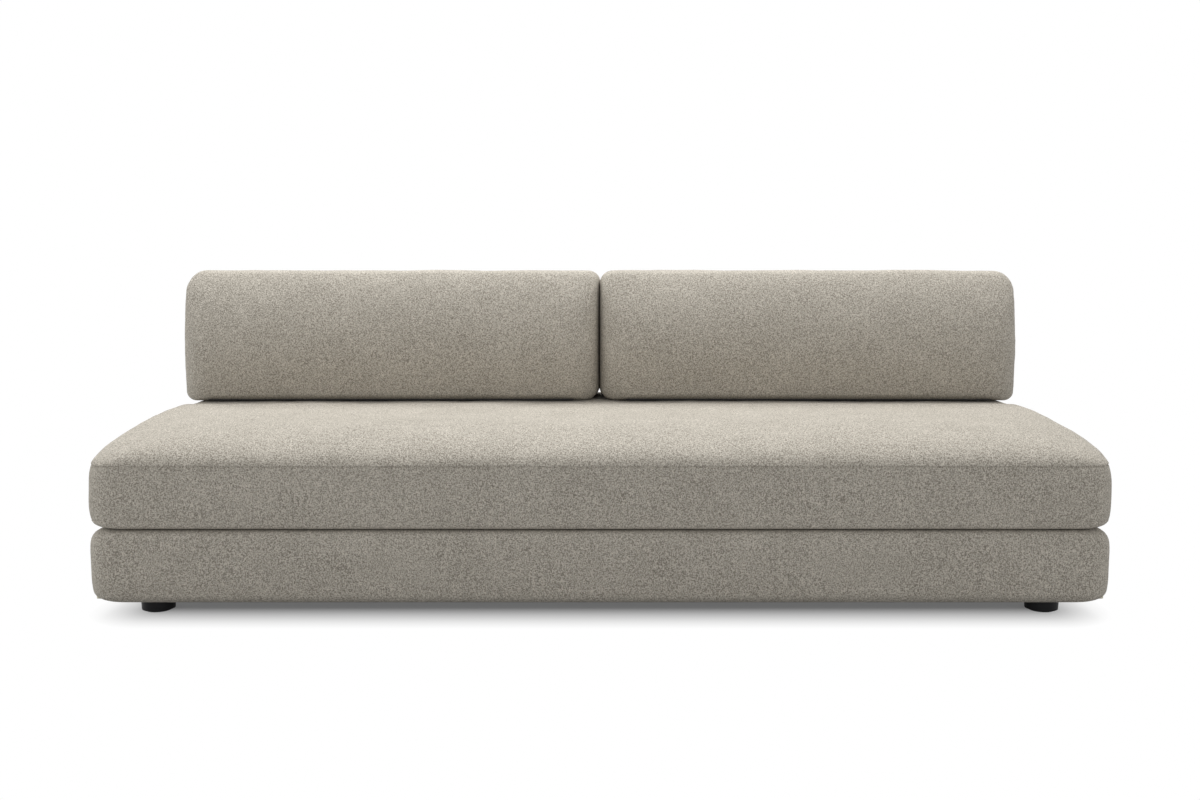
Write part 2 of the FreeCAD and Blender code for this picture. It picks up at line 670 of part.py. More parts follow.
def back_boards(side):
    """Plywood inside a back cushion: an upright board on a foot board, and a steel weight on it."""
    inner = BACK_CENTRE_GAP / 2 + BACK_BOARD_MARGIN
    outer = HALF_WIDTH - BACK_OUTER_INSET - BACK_BOARD_MARGIN
    low_x, high_x = sorted((side * inner, side * outer))
    board_rear = BACK_REAR_Y - BACK_BOARD_SETBACK
    board_front = board_rear - BACK_BOARD_THICKNESS
    foot_bottom = BACK_BOTTOM + BOARD_LIFT
    foot_top = foot_bottom + BACK_BOARD_THICKNESS
    upright = box_between((low_x, board_front, foot_top), (high_x, board_rear, BACK_TOP - BACK_BOARD_MARGIN))
    board_low = (low_x, board_rear - FOOT_BOARD_DEPTH, foot_bottom)
    foot_board = box_between(board_low, (high_x, board_rear, foot_top))
    middle = (low_x + high_x) / 2
    half = (high_x - low_x) / 2 - BALLAST_MARGIN
    weight_top = foot_top + BALLAST_THICKNESS
    weight = box_between(
        (middle - half, board_front - BALLAST_DEPTH, foot_top), (middle + half, board_front, weight_top)
    )
    return upright, foot_board, weight


def save_back(side, hand):
    """One back cushion: three sewn panels, foam round its boards, a grip mat below and a zip."""
    zip_z = BACK_BOTTOM + BACK_ZIP_HEIGHT
    near = BACK_CENTRE_GAP / 2 + ZIP_END_MARGIN
    far = HALF_WIDTH - BACK_OUTER_INSET - ZIP_END_MARGIN
    left, right = sorted((side * near, side * far))
    tape = zip_tape(left, right, BACK_REAR_Y, zip_z)
    inside = COVER_THICKNESS
    padding = COVER_THICKNESS + SOFT_GAP
    upright, foot_board, weight = back_boards(side)
    foam = back_front(side, padding).fuse([back_band(side, padding), back_rear(side, padding)])
    foam = foam.removeSplitter().cut(upright).cut(foot_board).cut(weight)
    save(f"back_{hand}_front_panel", [back_front(side, 0.0).cut(back_front(side, inside))])
    save(f"back_{hand}_band", [back_band(side, 0.0).cut(back_band(side, inside))])
    save(f"back_{hand}_rear_panel", [back_rear(side, 0.0).cut(back_rear(side, inside)).cut(tape)])
    save(f"back_{hand}_foam", [foam])
    save(f"back_{hand}_upright_board", [upright])
    save(f"back_{hand}_foot_board", [foot_board])
    save(f"back_{hand}_weight", [weight])
    save(f"back_{hand}_zip_tape", [tape])
    save(f"back_{hand}_zip_slider", [zip_slider(right, BACK_REAR_Y, zip_z)])
    inner = BACK_CENTRE_GAP / 2 + GRIP_MAT_MARGIN
    outer = HALF_WIDTH - BACK_OUTER_INSET - GRIP_MAT_MARGIN
    low_x, high_x = sorted((side * inner, side * outer))
    mat = box_between((low_x, BACK_FRONT_SEAM_Y, BACK_REST), (high_x, BACK_REAR_SEAM_Y, BACK_BOTTOM))
    save(f"back_{hand}_grip_mat", [mat])


save("base_cover", [base_cover()])
save_base_padding()
save("deck_cloth", [deck_cloth()])
save_frame()
save_corners()
save_webbing()
save("dust_cover", [dust_cover()])
save_feet()
save_seat()
save_back(-1, "left")
save_back(1, "right")
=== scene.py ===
"""Armless sofa: the finished looks of its platform, bench cushion and two back cushions.

Metres, +Z up, the front faces -Y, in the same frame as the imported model.
"""

import json
import logging
import math
from collections.abc import Callable
from dataclasses import dataclass
from enum import Enum

import bpy
import numpy as np
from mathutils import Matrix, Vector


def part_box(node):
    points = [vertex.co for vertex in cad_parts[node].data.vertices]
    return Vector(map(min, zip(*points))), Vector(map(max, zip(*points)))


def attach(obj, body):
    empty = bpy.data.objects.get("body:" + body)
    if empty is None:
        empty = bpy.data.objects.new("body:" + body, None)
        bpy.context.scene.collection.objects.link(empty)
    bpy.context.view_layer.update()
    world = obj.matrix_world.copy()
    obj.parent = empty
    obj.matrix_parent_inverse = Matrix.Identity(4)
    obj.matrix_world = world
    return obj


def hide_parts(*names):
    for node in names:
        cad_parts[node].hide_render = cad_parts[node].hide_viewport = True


Array = np.ndarray
Span = tuple[float, float]
Colour = tuple[float, float, float]
Socket = bpy.types.NodeSocket

MM = 0.001

log = logging.getLogger("sofa")
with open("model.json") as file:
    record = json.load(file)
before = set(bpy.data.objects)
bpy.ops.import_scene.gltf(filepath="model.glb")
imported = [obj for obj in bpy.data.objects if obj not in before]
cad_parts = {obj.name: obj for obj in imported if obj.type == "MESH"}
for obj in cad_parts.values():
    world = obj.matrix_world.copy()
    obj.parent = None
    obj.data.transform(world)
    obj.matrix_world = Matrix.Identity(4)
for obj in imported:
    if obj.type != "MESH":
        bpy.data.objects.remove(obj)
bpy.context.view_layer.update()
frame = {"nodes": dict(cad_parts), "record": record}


class Slot(Enum):
    """The record's material slots."""

    UPHOLSTERY = "upholstery"
    FOAM = "foam"
    FIBRE = "fibre"
    WEBBING = "webbing"
    LINING = "lining"
    TIMBER = "timber"
    PLYWOOD = "plywood"
    ZINC_STEEL = "zinc_steel"
    BALLAST_STEEL = "ballast_steel"
    FOOT_PLASTIC = "foot_plastic"
    GLIDE = "glide"
    GRIP_MAT = "grip_mat"
    ZIP_TAPE = "zip_tape"
    ZIP_SLIDER = "zip_slider"


# Arithmetic on whole arrays


def smooth_field(points: Array, wavelength: float, seed: int, waves: int = 14) -> Array:
    """Smooth random field, about -1 to 1: a sum of plane waves in random directions.

    Args:
        points: (..., 3) places.
        wavelength: middle wavelength of the waves, in metres.
        seed: start of the random draws.
        waves: how many waves are added.

    Returns:
        One value per place.
    """
    rng = np.random.default_rng(seed)
    directions = rng.normal(size=(waves, 3))
    directions /= np.linalg.norm(directions, axis=1, keepdims=True)
    directions *= (2 * np.pi / wavelength) * rng.uniform(0.6, 1.5, size=(waves, 1))
    phases = rng.uniform(0, 2 * np.pi, waves)
    return np.sin(points @ directions.T + phases).sum(-1) / math.sqrt(waves)


def smooth_step(value: Array, low: float, high: float) -> Array:
    """0 below low, 1 above high, and a smooth cubic rise between them."""
    share = np.clip((value - low) / (high - low), 0, 1)
    return share * share * (3 - 2 * share)


def round_inset(height: Array, radius: float) -> Array:
    """Inset of a quarter round at each height above its edge: the circle's sagitta, then none."""
    left = np.clip(radius - height, 0, radius)
    return radius - np.sqrt(radius**2 - left**2)


def crown_inset(share: Array, reach: float | Array, rise: float | Array, roundness: float) -> Array:
    """Inset of a crown at each share of its height.

    reach * (1 - (1 - share^rise)^(1/roundness)): upright at the seam and level at the top.
    """
    return reach * (1 - (1 - np.clip(share, 0, 1) ** rise) ** (1 / roundness))


def bulge_inset(share: Array, bulge: float, flat: float = 0.3) -> Array:
    """Inset of a boxing: none in its flat middle, growing with the square to bulge at its seams."""
    away = np.clip(np.abs(2 * share - 1) - flat, 0, None) / (1 - flat)
    return bulge * away**2


def even_shares(inset_at_share: Callable[[Array], Array], height: float, count: int) -> Array:
    """Shares of a crown's height that lie evenly along its curved section.

    Args:
        inset_at_share: function from shares to insets.
        height: the crown's full height.
        count: number of shares, both ends included.

    Returns:
        The shares, rising from 0 to 1.
    """
    fine = 1 - (1 - np.linspace(0, 1, 4000)) ** 2
    steps = np.hypot(np.diff(inset_at_share(fine)), np.diff(fine) * height)
    length = np.concatenate([[0.0], np.cumsum(steps)])
    return np.interp(np.linspace(0, length[-1], count), length, fine)


def with_seam(values: Array, seam: float, reach: float, count: int) -> Array:
    """Sorted values with extra ones packed closely about a seam: seam +/- reach * k^1.6, k from 0 to 1.

    Args:
        values: the values, of which those near the seam are dropped.
        seam: place of the seam.
        reach: how far the extra values go to each side.
        count: how many lie on each side, the seam's own included.

    Returns:
        The values, rising.
    """
    close = reach * np.linspace(0, 1, count) ** 1.6
    near = np.concatenate([seam - close[::-1], seam + close[1:]])
    kept = values[np.abs(values - seam) > reach * 1.15]
    return np.sort(np.concatenate([kept, near]))


# Closed forms made of rings and two caps


@dataclass(frozen=True)
class RingGrid:
    """How many cells a ring has along its long sides, across its ends and on each half corner."""

    along: int
    across: int
    corner: int = 10

    @property
    def points(self) -> int:
        """Points in one ring."""
        return 2 * (self.along + self.across)


def ring_stack(
    grid: RingGrid, u: tuple[Array, Array], v: tuple[Array, Array], radii: list[Array]
) -> Array:
    """Rounded rectangles that go round from the middle of their low corner.

    Each side is half a corner arc, a straight run and the next half arc, so that a point keeps its
    place from ring to ring.

    Args:
        grid: cell counts.
        u: lowest and highest u of each ring.
        v: lowest and highest v of each ring.
        radii: corner radius of each ring at the low low, high low, high high and low high corner.

    Returns:
        (rings, points, 2) places.
    """
    low_u, high_u = (np.asarray(x, float)[:, None] for x in u)
    low_v, high_v = (np.asarray(x, float)[:, None] for x in v)
    r = [np.broadcast_to(np.asarray(x, float), low_u.shape[:1])[:, None] for x in radii]
    centres = [
        (low_u + r[0], low_v + r[0]), (high_u - r[1], low_v + r[1]),
        (high_u - r[2], high_v - r[2]), (low_u + r[3], high_v - r[3]),
    ]
    sides = []
    for side, count in enumerate((grid.along, grid.across, grid.along, grid.across)):
        after = (side + 1) % 4
        facing = math.radians(-90 + 90 * side)
        arc = math.radians(45) * np.arange(grid.corner) / grid.corner
        run = np.linspace(0, 1, count - 2 * grid.corner + 1)[None, :-1]
        parts = []
        for axis, turn in enumerate((np.cos, np.sin)):
            first = centres[side][axis] + r[side] * turn(facing - math.radians(45) + arc)[None]
            last = centres[after][axis] + r[after] * turn(facing + arc)[None]
            start = centres[side][axis] + r[side] * turn(facing)
            end = centres[after][axis] + r[after] * turn(facing)
            parts.append(np.concatenate([first, start * (1 - run) + end * run, last], axis=1))
        sides.append(np.stack(parts, axis=-1))
    return np.concatenate(sides, axis=1)


def raised(plan: Array, heights: Array) -> Array:
    """Plane rings with each ring's own height as the third coordinate: (rings, points, 3)."""
    levels = np.broadcast_to(heights[:, None, None], plan.shape[:2] + (1,))
    return np.concatenate([plan, levels], axis=-1)


def blended_cap(grid: RingGrid, ring: Array) -> Array:
    """Surface across a ring, blended from its four sides (a Coons patch).

    It is the sum of the two ruled surfaces between facing sides, less the one through the corners.

    Args:
        grid: cell counts.
        ring: (points, 3) places of the ring.

    Returns:
        (along + 1, across + 1, 3) places.
    """
    a, b = grid.along, grid.across
    near = ring[: a + 1]
    right = ring[a : a + b + 1]
    far = ring[a + b : 2 * a + b + 1][::-1]
    left = np.concatenate([ring[2 * a + b :], ring[:1]])[::-1]
    s = np.linspace(0, 1, a + 1)[:, None, None]
    t = np.linspace(0, 1, b + 1)[None, :, None]
    ruled = (1 - t) * near[:, None] + t * far[:, None] + (1 - s) * left[None] + s * right[None]
    corners = (1 - s) * (1 - t) * near[0] + s * (1 - t) * near[-1]
    return ruled - (corners + (1 - s) * t * far[0] + s * t * far[-1])


@dataclass
class Form:
    """A surface as places and four-sided faces."""

    points: Array
    faces: Array

    def normals(self) -> Array:
        """Outward direction at each point: the sum of its faces' areas as vectors, made unit.

        Returns:
            (points, 3) directions.
        """
        corner = self.points[self.faces]
        area = np.cross(corner[:, 2] - corner[:, 0], corner[:, 3] - corner[:, 1])
        total = np.zeros_like(self.points)
        for k in range(4):
            for axis in range(3):
                total[:, axis] += np.bincount(self.faces[:, k], area[:, axis], len(self.points))
        return total / np.maximum(np.linalg.norm(total, axis=1, keepdims=True), 1e-12)

    def swell(self, amount: Array) -> None:
        """Moves each point outwards by its amount."""
        self.points = self.points + self.normals() * amount[:, None]

    def joined(self, other: "Form") -> "Form":
        """This surface and another as one."""
        return Form(
            np.concatenate([self.points, other.points]),
            np.concatenate([self.faces, other.faces + len(self.points)]),
        )


def closed_form(grid: RingGrid, rings: Array) -> Form:
    """Closed surface: the walls between rings, and a cap at each end.

    Args:
        grid: cell counts.
        rings: (rings, points, 3) places, anticlockwise seen from the last cap.

    Returns:
        The surface, with every face pointing outwards.
    """
    count, around = rings.shape[:2]
    here = np.arange(around)
    after = (here + 1) % around
    base = np.arange(count - 1)[:, None] * around
    walls = np.stack(
        [base + here, base + after, base + around + after, base + around + here], axis=-1
    ).reshape(-1, 4)
    points = [rings.reshape(-1, 3)]
    faces = [walls]
    a, b = grid.along, grid.across
    start = count * around
    for ring, flip in ((0, True), (count - 1, False)):
        inside = blended_cap(grid, rings[ring])[1:-1, 1:-1]
        index = np.zeros((a + 1, b + 1), int)
        edge = ring * around + np.arange(around)
        index[:, 0] = edge[: a + 1]
        index[-1, :] = edge[a : a + b + 1]
        index[:, -1] = edge[a + b : 2 * a + b + 1][::-1]
        index[0, :] = np.append(edge[2 * a + b :], edge[0])[::-1]
        index[1:-1, 1:-1] = start + np.arange((a - 1) * (b - 1)).reshape(a - 1, b - 1)
        start += (a - 1) * (b - 1)
        quads = np.stack([index[:-1, :-1], index[1:, :-1], index[1:, 1:], index[:-1, 1:]], axis=-1)
        quads = quads.reshape(-1, 4)
        points.append(inside.reshape(-1, 3))
        faces.append(quads[:, ::-1] if flip else quads)
    return Form(np.concatenate(points), np.concatenate(faces))


def swept(section: Array, path: Array, sideways: Array, upwards: Array) -> Form:
    """Closed bar: a section carried along a path, with its ends filled by strips.

    Args:
        section: (m, 2) outline, anticlockwise, symmetric in its point count, m even.
        path: (n, 3) places.
        sideways: direction of the section's first coordinate.
        upwards: direction of its second; sideways x upwards points back along the path.

    Returns:
        The bar.
    """
    offsets = section[:, :1] * np.asarray(sideways, float) + section[:, 1:] * np.asarray(upwards, float)
    return bar_form(path[:, None] + offsets[None], False)


def make_object(
    name: str, form: Form, material: bpy.types.Material, smooth: bool = True
) -> bpy.types.Object:
    """Mesh object at the origin with its place in its vertices.

    Args:
        name: the piece's name.
        form: its surface.
        material: its finish.
        smooth: whether its faces are shaded as one.

    Returns:
        The object, linked to the scene.
    """
    mesh = bpy.data.meshes.new(name)
    mesh.from_pydata(form.points, [], form.faces)
    mesh.validate()
    mesh.materials.append(material)
    if smooth:
        mesh.shade_smooth()
    piece = bpy.data.objects.new(name, mesh)
    bpy.context.scene.collection.objects.link(piece)
    return piece


def fit_in(
    piece: bpy.types.Object, body: str, nodes: list[str]
) -> bpy.types.Object:
    """Lets a piece ride on its body in place of CAD nodes.

    Args:
        piece: the piece.
        body: the body that it rides on.
        nodes: the CAD nodes that it stands for.

    Returns:
        The piece.
    """
    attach(piece, body)
    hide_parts(*nodes)
    log.info("%s: %d points, for %s", piece.name, len(piece.data.vertices), ", ".join(nodes))
    return piece


def node_span(node: str, axis: int) -> Span:
    """Lowest and highest coordinate of a CAD node along one axis."""
    low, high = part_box(node)
    return low[axis], high[axis]


# Finishes


class Shader:
    """A material's nodes, with one short call per kind of node."""

    def __init__(self, name: str) -> None:
        self.material = bpy.data.materials.new(name)
        self.material.use_nodes = True
        self.nodes = self.material.node_tree.nodes
        self.links = self.material.node_tree.links
        self.nodes.clear()
        self.output = self.nodes.new("ShaderNodeOutputMaterial")

    def add(self, kind: str, inputs: dict | None = None, **settings) -> bpy.types.Node:
        """New node; inputs maps socket names to values or to other nodes' outputs."""
        node = self.nodes.new("ShaderNode" + kind)
        for key, value in settings.items():
            setattr(node, key, value)
        for key, value in (inputs or {}).items():
            if isinstance(value, Socket):
                self.links.new(value, node.inputs[key])
            else:
                node.inputs[key].default_value = value
        return node

    def place(self) -> Socket:
        """Object coordinates."""
        return self.add("TexCoord").outputs["Object"]

    def stretched(self, vector: Socket, scale: tuple[float, float, float]) -> Socket:
        """Coordinates scaled along each axis."""
        return self.add("Mapping", {"Vector": vector, "Scale": scale}).outputs["Vector"]

    def noise(self, vector: Socket, scale: float, detail: float = 2.0, roughness: float = 0.5) -> Socket:
        """Noise from 0 to 1."""
        inputs = {"Vector": vector, "Scale": scale, "Detail": detail, "Roughness": roughness}
        return self.add("TexNoise", inputs).outputs["Fac"]

    def math(
        self, operation: str, first: Socket | float, second: Socket | float = 0.0,
        third: Socket | float = 0.0,
    ) -> Socket:
        """One step of arithmetic."""
        return self.add("Math", {0: first, 1: second, 2: third}, operation=operation).outputs[0]

    def spread(
        self, value: Socket, low: float, high: float, to_low: float = 0.0, to_high: float = 1.0
    ) -> Socket:
        """Value mapped from one range to another and held inside it."""
        node = self.add(
            "MapRange",
            {"Value": value, "From Min": low, "From Max": high, "To Min": to_low, "To Max": to_high},
        )
        return node.outputs["Result"]

    def mix(self, factor: Socket, first: Socket, second: Socket) -> Socket:
        """Mix of two numbers."""
        node = self.add("Mix", {0: factor, 2: first, 3: second}, data_type="FLOAT")
        return node.outputs[0]

    def colour(self, factor: Socket, first: Colour, second: Colour) -> Socket:
        """Mix of two colours, given as red, green and blue."""
        node = self.add("Mix", {0: factor, 6: (*first, 1.0), 7: (*second, 1.0)}, data_type="RGBA")
        return node.outputs[2]

    def bump(self, height: Socket, distance: float, strength: float = 1.0) -> Socket:
        """Surface relief of the given distance, in metres."""
        inputs = {"Height": height, "Distance": distance, "Strength": strength}
        return self.add("Bump", inputs).outputs["Normal"]

    def finish(self, colour: Socket, normal: Socket, **constants) -> bpy.types.Material:
        """Ends in a principled shader.

        Args:
            colour: the base colour.
            normal: the relief.
            constants: values of the shader's other sockets, with their spaces as underscores.

        Returns:
            The finished material.
        """
        inputs = {"Base Color": colour, "Normal": normal}
        inputs.update({key.replace("_", " "): value for key, value in constants.items()})
        shader = self.add("BsdfPrincipled", inputs)
        self.links.new(shader.outputs["BSDF"], self.output.inputs["Surface"])
        return self.material


@dataclass(frozen=True)
class NubbyWeave:
    """Heathered upholstery cloth: pale and dark yarns, slubs, and a fuzz that catches edge light."""

    name: str = "Upholstery"
    pale: Colour = (0.622, 0.579, 0.506)
    dark: Colour = (0.232, 0.210, 0.174)
    yarn: float = 1.6 * MM
    slub: float = 5.0 * MM
    nub: float = 2.0 * MM
    relief: float = 0.6 * MM
    nub_share: float = 1.3
    heather: Span = (1.40, 1.90)
    side_on: Span = (0.6, 0.85)

    def material(self) -> bpy.types.Material:
        """Two crossing sets of yarns, chosen by the way the surface faces, with nubs over them.

        Noise drawn out along one axis is a yarn: long across it and fine along the others. The sides
        take their own pair, because a yarn that runs along X would show there end on.

        Returns:
            The material.
        """
        s = Shader(self.name)
        place = s.place()
        facing = s.add("TexCoord").outputs["Normal"]
        across = s.add("SeparateXYZ", {"Vector": facing}).outputs["X"]
        sideways = s.spread(s.math("ABSOLUTE", across), *self.side_on)
        fine, long = 1 / self.yarn, 1 / self.slub
        warp = s.mix(
            sideways,
            s.noise(s.stretched(place, (fine, long, long)), 1.0, 1.0, 0.5),
            s.noise(s.stretched(place, (long, fine, long)), 1.0, 1.0, 0.5),
        )
        weft = s.mix(
            sideways,
            s.noise(s.stretched(place, (long, fine, fine)), 1.0, 1.0, 0.5),
            s.noise(s.stretched(place, (long, long, fine)), 1.0, 1.0, 0.5),
        )
        nub = s.noise(place, 1 / self.nub, 1.0, 0.5)
        weave = s.math("ADD", s.math("MULTIPLY_ADD", nub, self.nub_share, warp), weft)
        heather = s.spread(weave, *self.heather)
        cloud = s.spread(s.noise(place, 9.0, 2.0), 0.3, 0.7, -0.05, 0.05)
        tone = s.math("ADD", heather, cloud)
        colour = s.colour(tone, self.dark, self.pale)
        normal = s.bump(weave, self.relief)
        return s.finish(
            colour, normal, Roughness=0.92, Specular_IOR_Level=0.25, Sheen_Weight=0.12,
            Sheen_Roughness=0.45, Sheen_Tint=(0.95, 0.92, 0.86, 1.0),
        )


@dataclass(frozen=True)
class OpenFoam:
    """Foam or fibre: pale, with fine cells."""

    name: str
    colour: Colour
    cell: float = 2.0 * MM

    def material(self) -> bpy.types.Material:
        """Rounded cells from a Voronoi pattern, with a little painted shade in their hollows, darker towards
        each cell's edge.

        Returns:
            The material.
        """
        s = Shader(self.name)
        place = s.place()
        cells = s.add("TexVoronoi", {"Vector": place, "Scale": 1 / self.cell}).outputs["Distance"]
        patch = s.noise(place, 14.0, 3.0)
        # Painted shade: each cell is mixed towards a darker copy of the foam's colour as it nears its edge.
        shade = s.math("MULTIPLY_ADD", cells, -0.35, s.spread(patch, 0.3, 0.7, 0.85, 1.0))
        hollow_painted_shade = tuple(x * 0.62 for x in self.colour)
        colour = s.colour(shade, hollow_painted_shade, self.colour)
        return s.finish(colour, s.bump(cells, 0.4 * MM, 0.6), Roughness=0.95)


@dataclass(frozen=True)
class Wood:
    """Planed timber or plywood with grain along one axis."""

    name: str
    pale: Colour
    dark: Colour
    along: tuple[float, float, float] = (2.0, 30.0, 30.0)

    def material(self) -> bpy.types.Material:
        """Rings bent by noise and drawn out along the grain, with fine pores.

        Returns:
            The material.
        """
        s = Shader(self.name)
        place = s.stretched(s.place(), self.along)
        rings = s.add("TexWave", {
            "Vector": place, "Scale": 1.2, "Distortion": 7.0, "Detail": 3.0, "Detail Scale": 1.4,
        }).outputs["Fac"]
        pores = s.noise(s.stretched(place, (1.0, 9.0, 9.0)), 3.0, 3.0, 0.6)
        tone = s.math("MULTIPLY_ADD", pores, 0.35, s.math("MULTIPLY", rings, 0.65))
        colour = s.colour(tone, self.dark, self.pale)
        return s.finish(colour, s.bump(tone, 0.15 * MM, 0.5), Roughness=0.62)


@dataclass(frozen=True)
class Hard:
    """Moulded plastic, rubber or metal with a fine surface texture."""

    name: str
    colour: Colour
    roughness: float
    metallic: float = 0.0
    grain: float = 0.8 * MM
    relief: float = 0.03 * MM
    variation: float = 0.12
    gloss: float = 0.5

    def material(self) -> bpy.types.Material:
        """Even colour with faint patches, and a fine spark-eroded or cast grain.

        Returns:
            The material.
        """
        s = Shader(self.name)
        place = s.place()
        patch = s.noise(place, 40.0, 4.0, 0.6)
        grain = s.noise(place, 1 / self.grain, 2.0)
        lighter = tuple(min(1.0, x * (1 + 2 * self.variation) + 0.01) for x in self.colour)
        rough = s.spread(patch, 0.3, 0.7, self.roughness - 0.06, self.roughness + 0.06)
        return s.finish(
            s.colour(patch, self.colour, lighter), s.bump(grain, self.relief), Roughness=rough,
            Metallic=self.metallic, Specular_IOR_Level=self.gloss,
        )


@dataclass(frozen=True)
class Ribbon:
    """Tape, webbing or non-woven cloth with ribs across its length."""

    name: str
    colour: Colour
    rib: float = 1.4 * MM
    relief: float = 0.25 * MM

    def material(self) -> bpy.types.Material:
        """Crossing ribs from two sets of waves in the plan, with lint.

        Returns:
            The material.
        """
        s = Shader(self.name)
        place = s.place()
        turns = 2 * math.pi / self.rib
        axes = s.add("SeparateXYZ", {"Vector": s.stretched(place, (turns,) * 3)}).outputs
        waves = [s.math("SINE", axes[key]) for key in ("X", "Y", "Z")]
        ribs = s.math("MULTIPLY_ADD", waves[1], waves[2], waves[0])
        lint = s.noise(place, 220.0, 3.0)
        tone = s.math("MULTIPLY_ADD", ribs, 0.12, lint)
        paler = tuple(x * 1.5 + 0.012 for x in self.colour)
        darker = tuple(x * 0.7 for x in self.colour)
        return s.finish(
            s.colour(s.spread(tone, 0.2, 0.8), darker, paler), s.bump(ribs, self.relief, 0.6),
            Roughness=0.85, Sheen_Weight=0.1,
        )


class Finishes:
    """Every finish of the sofa, made once."""

    def __init__(self) -> None:
        self.by_slot: dict[Slot, bpy.types.Material] = {
            Slot.UPHOLSTERY: NubbyWeave().material(),
            Slot.FOAM: OpenFoam("Foam", (0.84, 0.80, 0.62)).material(),
            Slot.FIBRE: OpenFoam("Fibre", (0.88, 0.88, 0.86), 5 * MM).material(),
            Slot.WEBBING: Ribbon("Webbing", (0.045, 0.040, 0.036), 2.4 * MM, 0.5 * MM).material(),
            Slot.LINING: Ribbon("Lining", (0.008, 0.008, 0.009), 1.6 * MM, 0.1 * MM).material(),
            Slot.TIMBER: Wood("Timber", (0.60, 0.42, 0.23), (0.36, 0.22, 0.10)).material(),
            Slot.PLYWOOD: Wood("Plywood", (0.66, 0.50, 0.31), (0.46, 0.31, 0.17)).material(),
            Slot.ZINC_STEEL: Hard("Zinc", (0.58, 0.60, 0.62), 0.32, 1.0).material(),
            Slot.BALLAST_STEEL: Hard("Painted_steel", (0.02, 0.02, 0.022), 0.45).material(),
            Slot.FOOT_PLASTIC: Hard(
                "Black_plastic", (0.004, 0.004, 0.005), 0.5, variation=0.0, gloss=0.2
            ).material(),
            Slot.GLIDE: Hard("Glide", (0.05, 0.05, 0.052), 0.8, 0.0, 0.5 * MM, 0.1 * MM).material(),
            Slot.GRIP_MAT: Hard(
                "Grip_rubber", (0.045, 0.045, 0.047), 0.75, 0.0, 4 * MM, 0.5 * MM
            ).material(),
            Slot.ZIP_TAPE: Ribbon("Zip_tape", (0.34, 0.31, 0.26), 0.9 * MM, 0.12 * MM).material(),
            Slot.ZIP_SLIDER: Hard("Lacquered_zinc", (0.20, 0.18, 0.16), 0.4, 0.6).material(),
        }

    def dress_frame(self, record: dict) -> None:
        """Gives every CAD node the finish of its slot.

        Args:
            record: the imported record.
        """
        for part in record["subparts"]:
            node = frame["nodes"][part["node"]]
            node.data.materials.clear()
            node.data.materials.append(self.by_slot[Slot(part["material_slot"])])

    def add_piece(
        self, name: str, form: Form, body: str, slot: Slot, nodes: list[str], fill: float | None = None,
        smooth: bool = True,
    ) -> bpy.types.Object:
        """Makes a piece in its slot's finish and fits it in; the other arguments are make_object's and
        fit_in's, and fill is not used.
        """
        piece = make_object(name, form, self.by_slot[slot], smooth)
        return fit_in(piece, body, nodes)


# Sewn cloth


@dataclass(frozen=True)
class Seam:
    """Profile of a plain sewn seam: a narrow groove with the upper panel's edge rolled out over it."""

    depth: float = 2.0 * MM
    width: float = 1.5 * MM
    lip: float = 0.9 * MM
    lip_place: float = 3.4 * MM
    lip_width: float = 1.9 * MM

    def inset(self, away: Array) -> Array:
        """Inset at a signed distance above the seam: one bell for the groove and one for the lip."""
        groove = self.depth * np.exp(-((away / self.width) ** 2))
        return groove - self.lip * np.exp(-(((away - self.lip_place) / self.lip_width) ** 2))

    def pucker(self, points: Array, away: Array, height: float, seed: int) -> Array:
        """Small waves that the stitches draw up beside the seam and that die out away from it."""
        waves = smooth_field(points, 34 * MM, seed) + 0.6 * smooth_field(points, 19 * MM, seed + 1)
        return height * waves * np.exp(-((away / (13 * MM)) ** 2))


@dataclass(frozen=True)
class Unevenness:
    """Slight rise and fall of stuffed cloth: a broad random field with a fine one over it."""

    broad: float
    broad_length: float
    fine: float
    fine_length: float
    seed: int

    def at(self, points: Array) -> Array:
        """Height at each point."""
        broad = self.broad * smooth_field(points, self.broad_length, self.seed)
        return broad + self.fine * smooth_field(points, self.fine_length, self.seed + 1)


# The upholstered platform


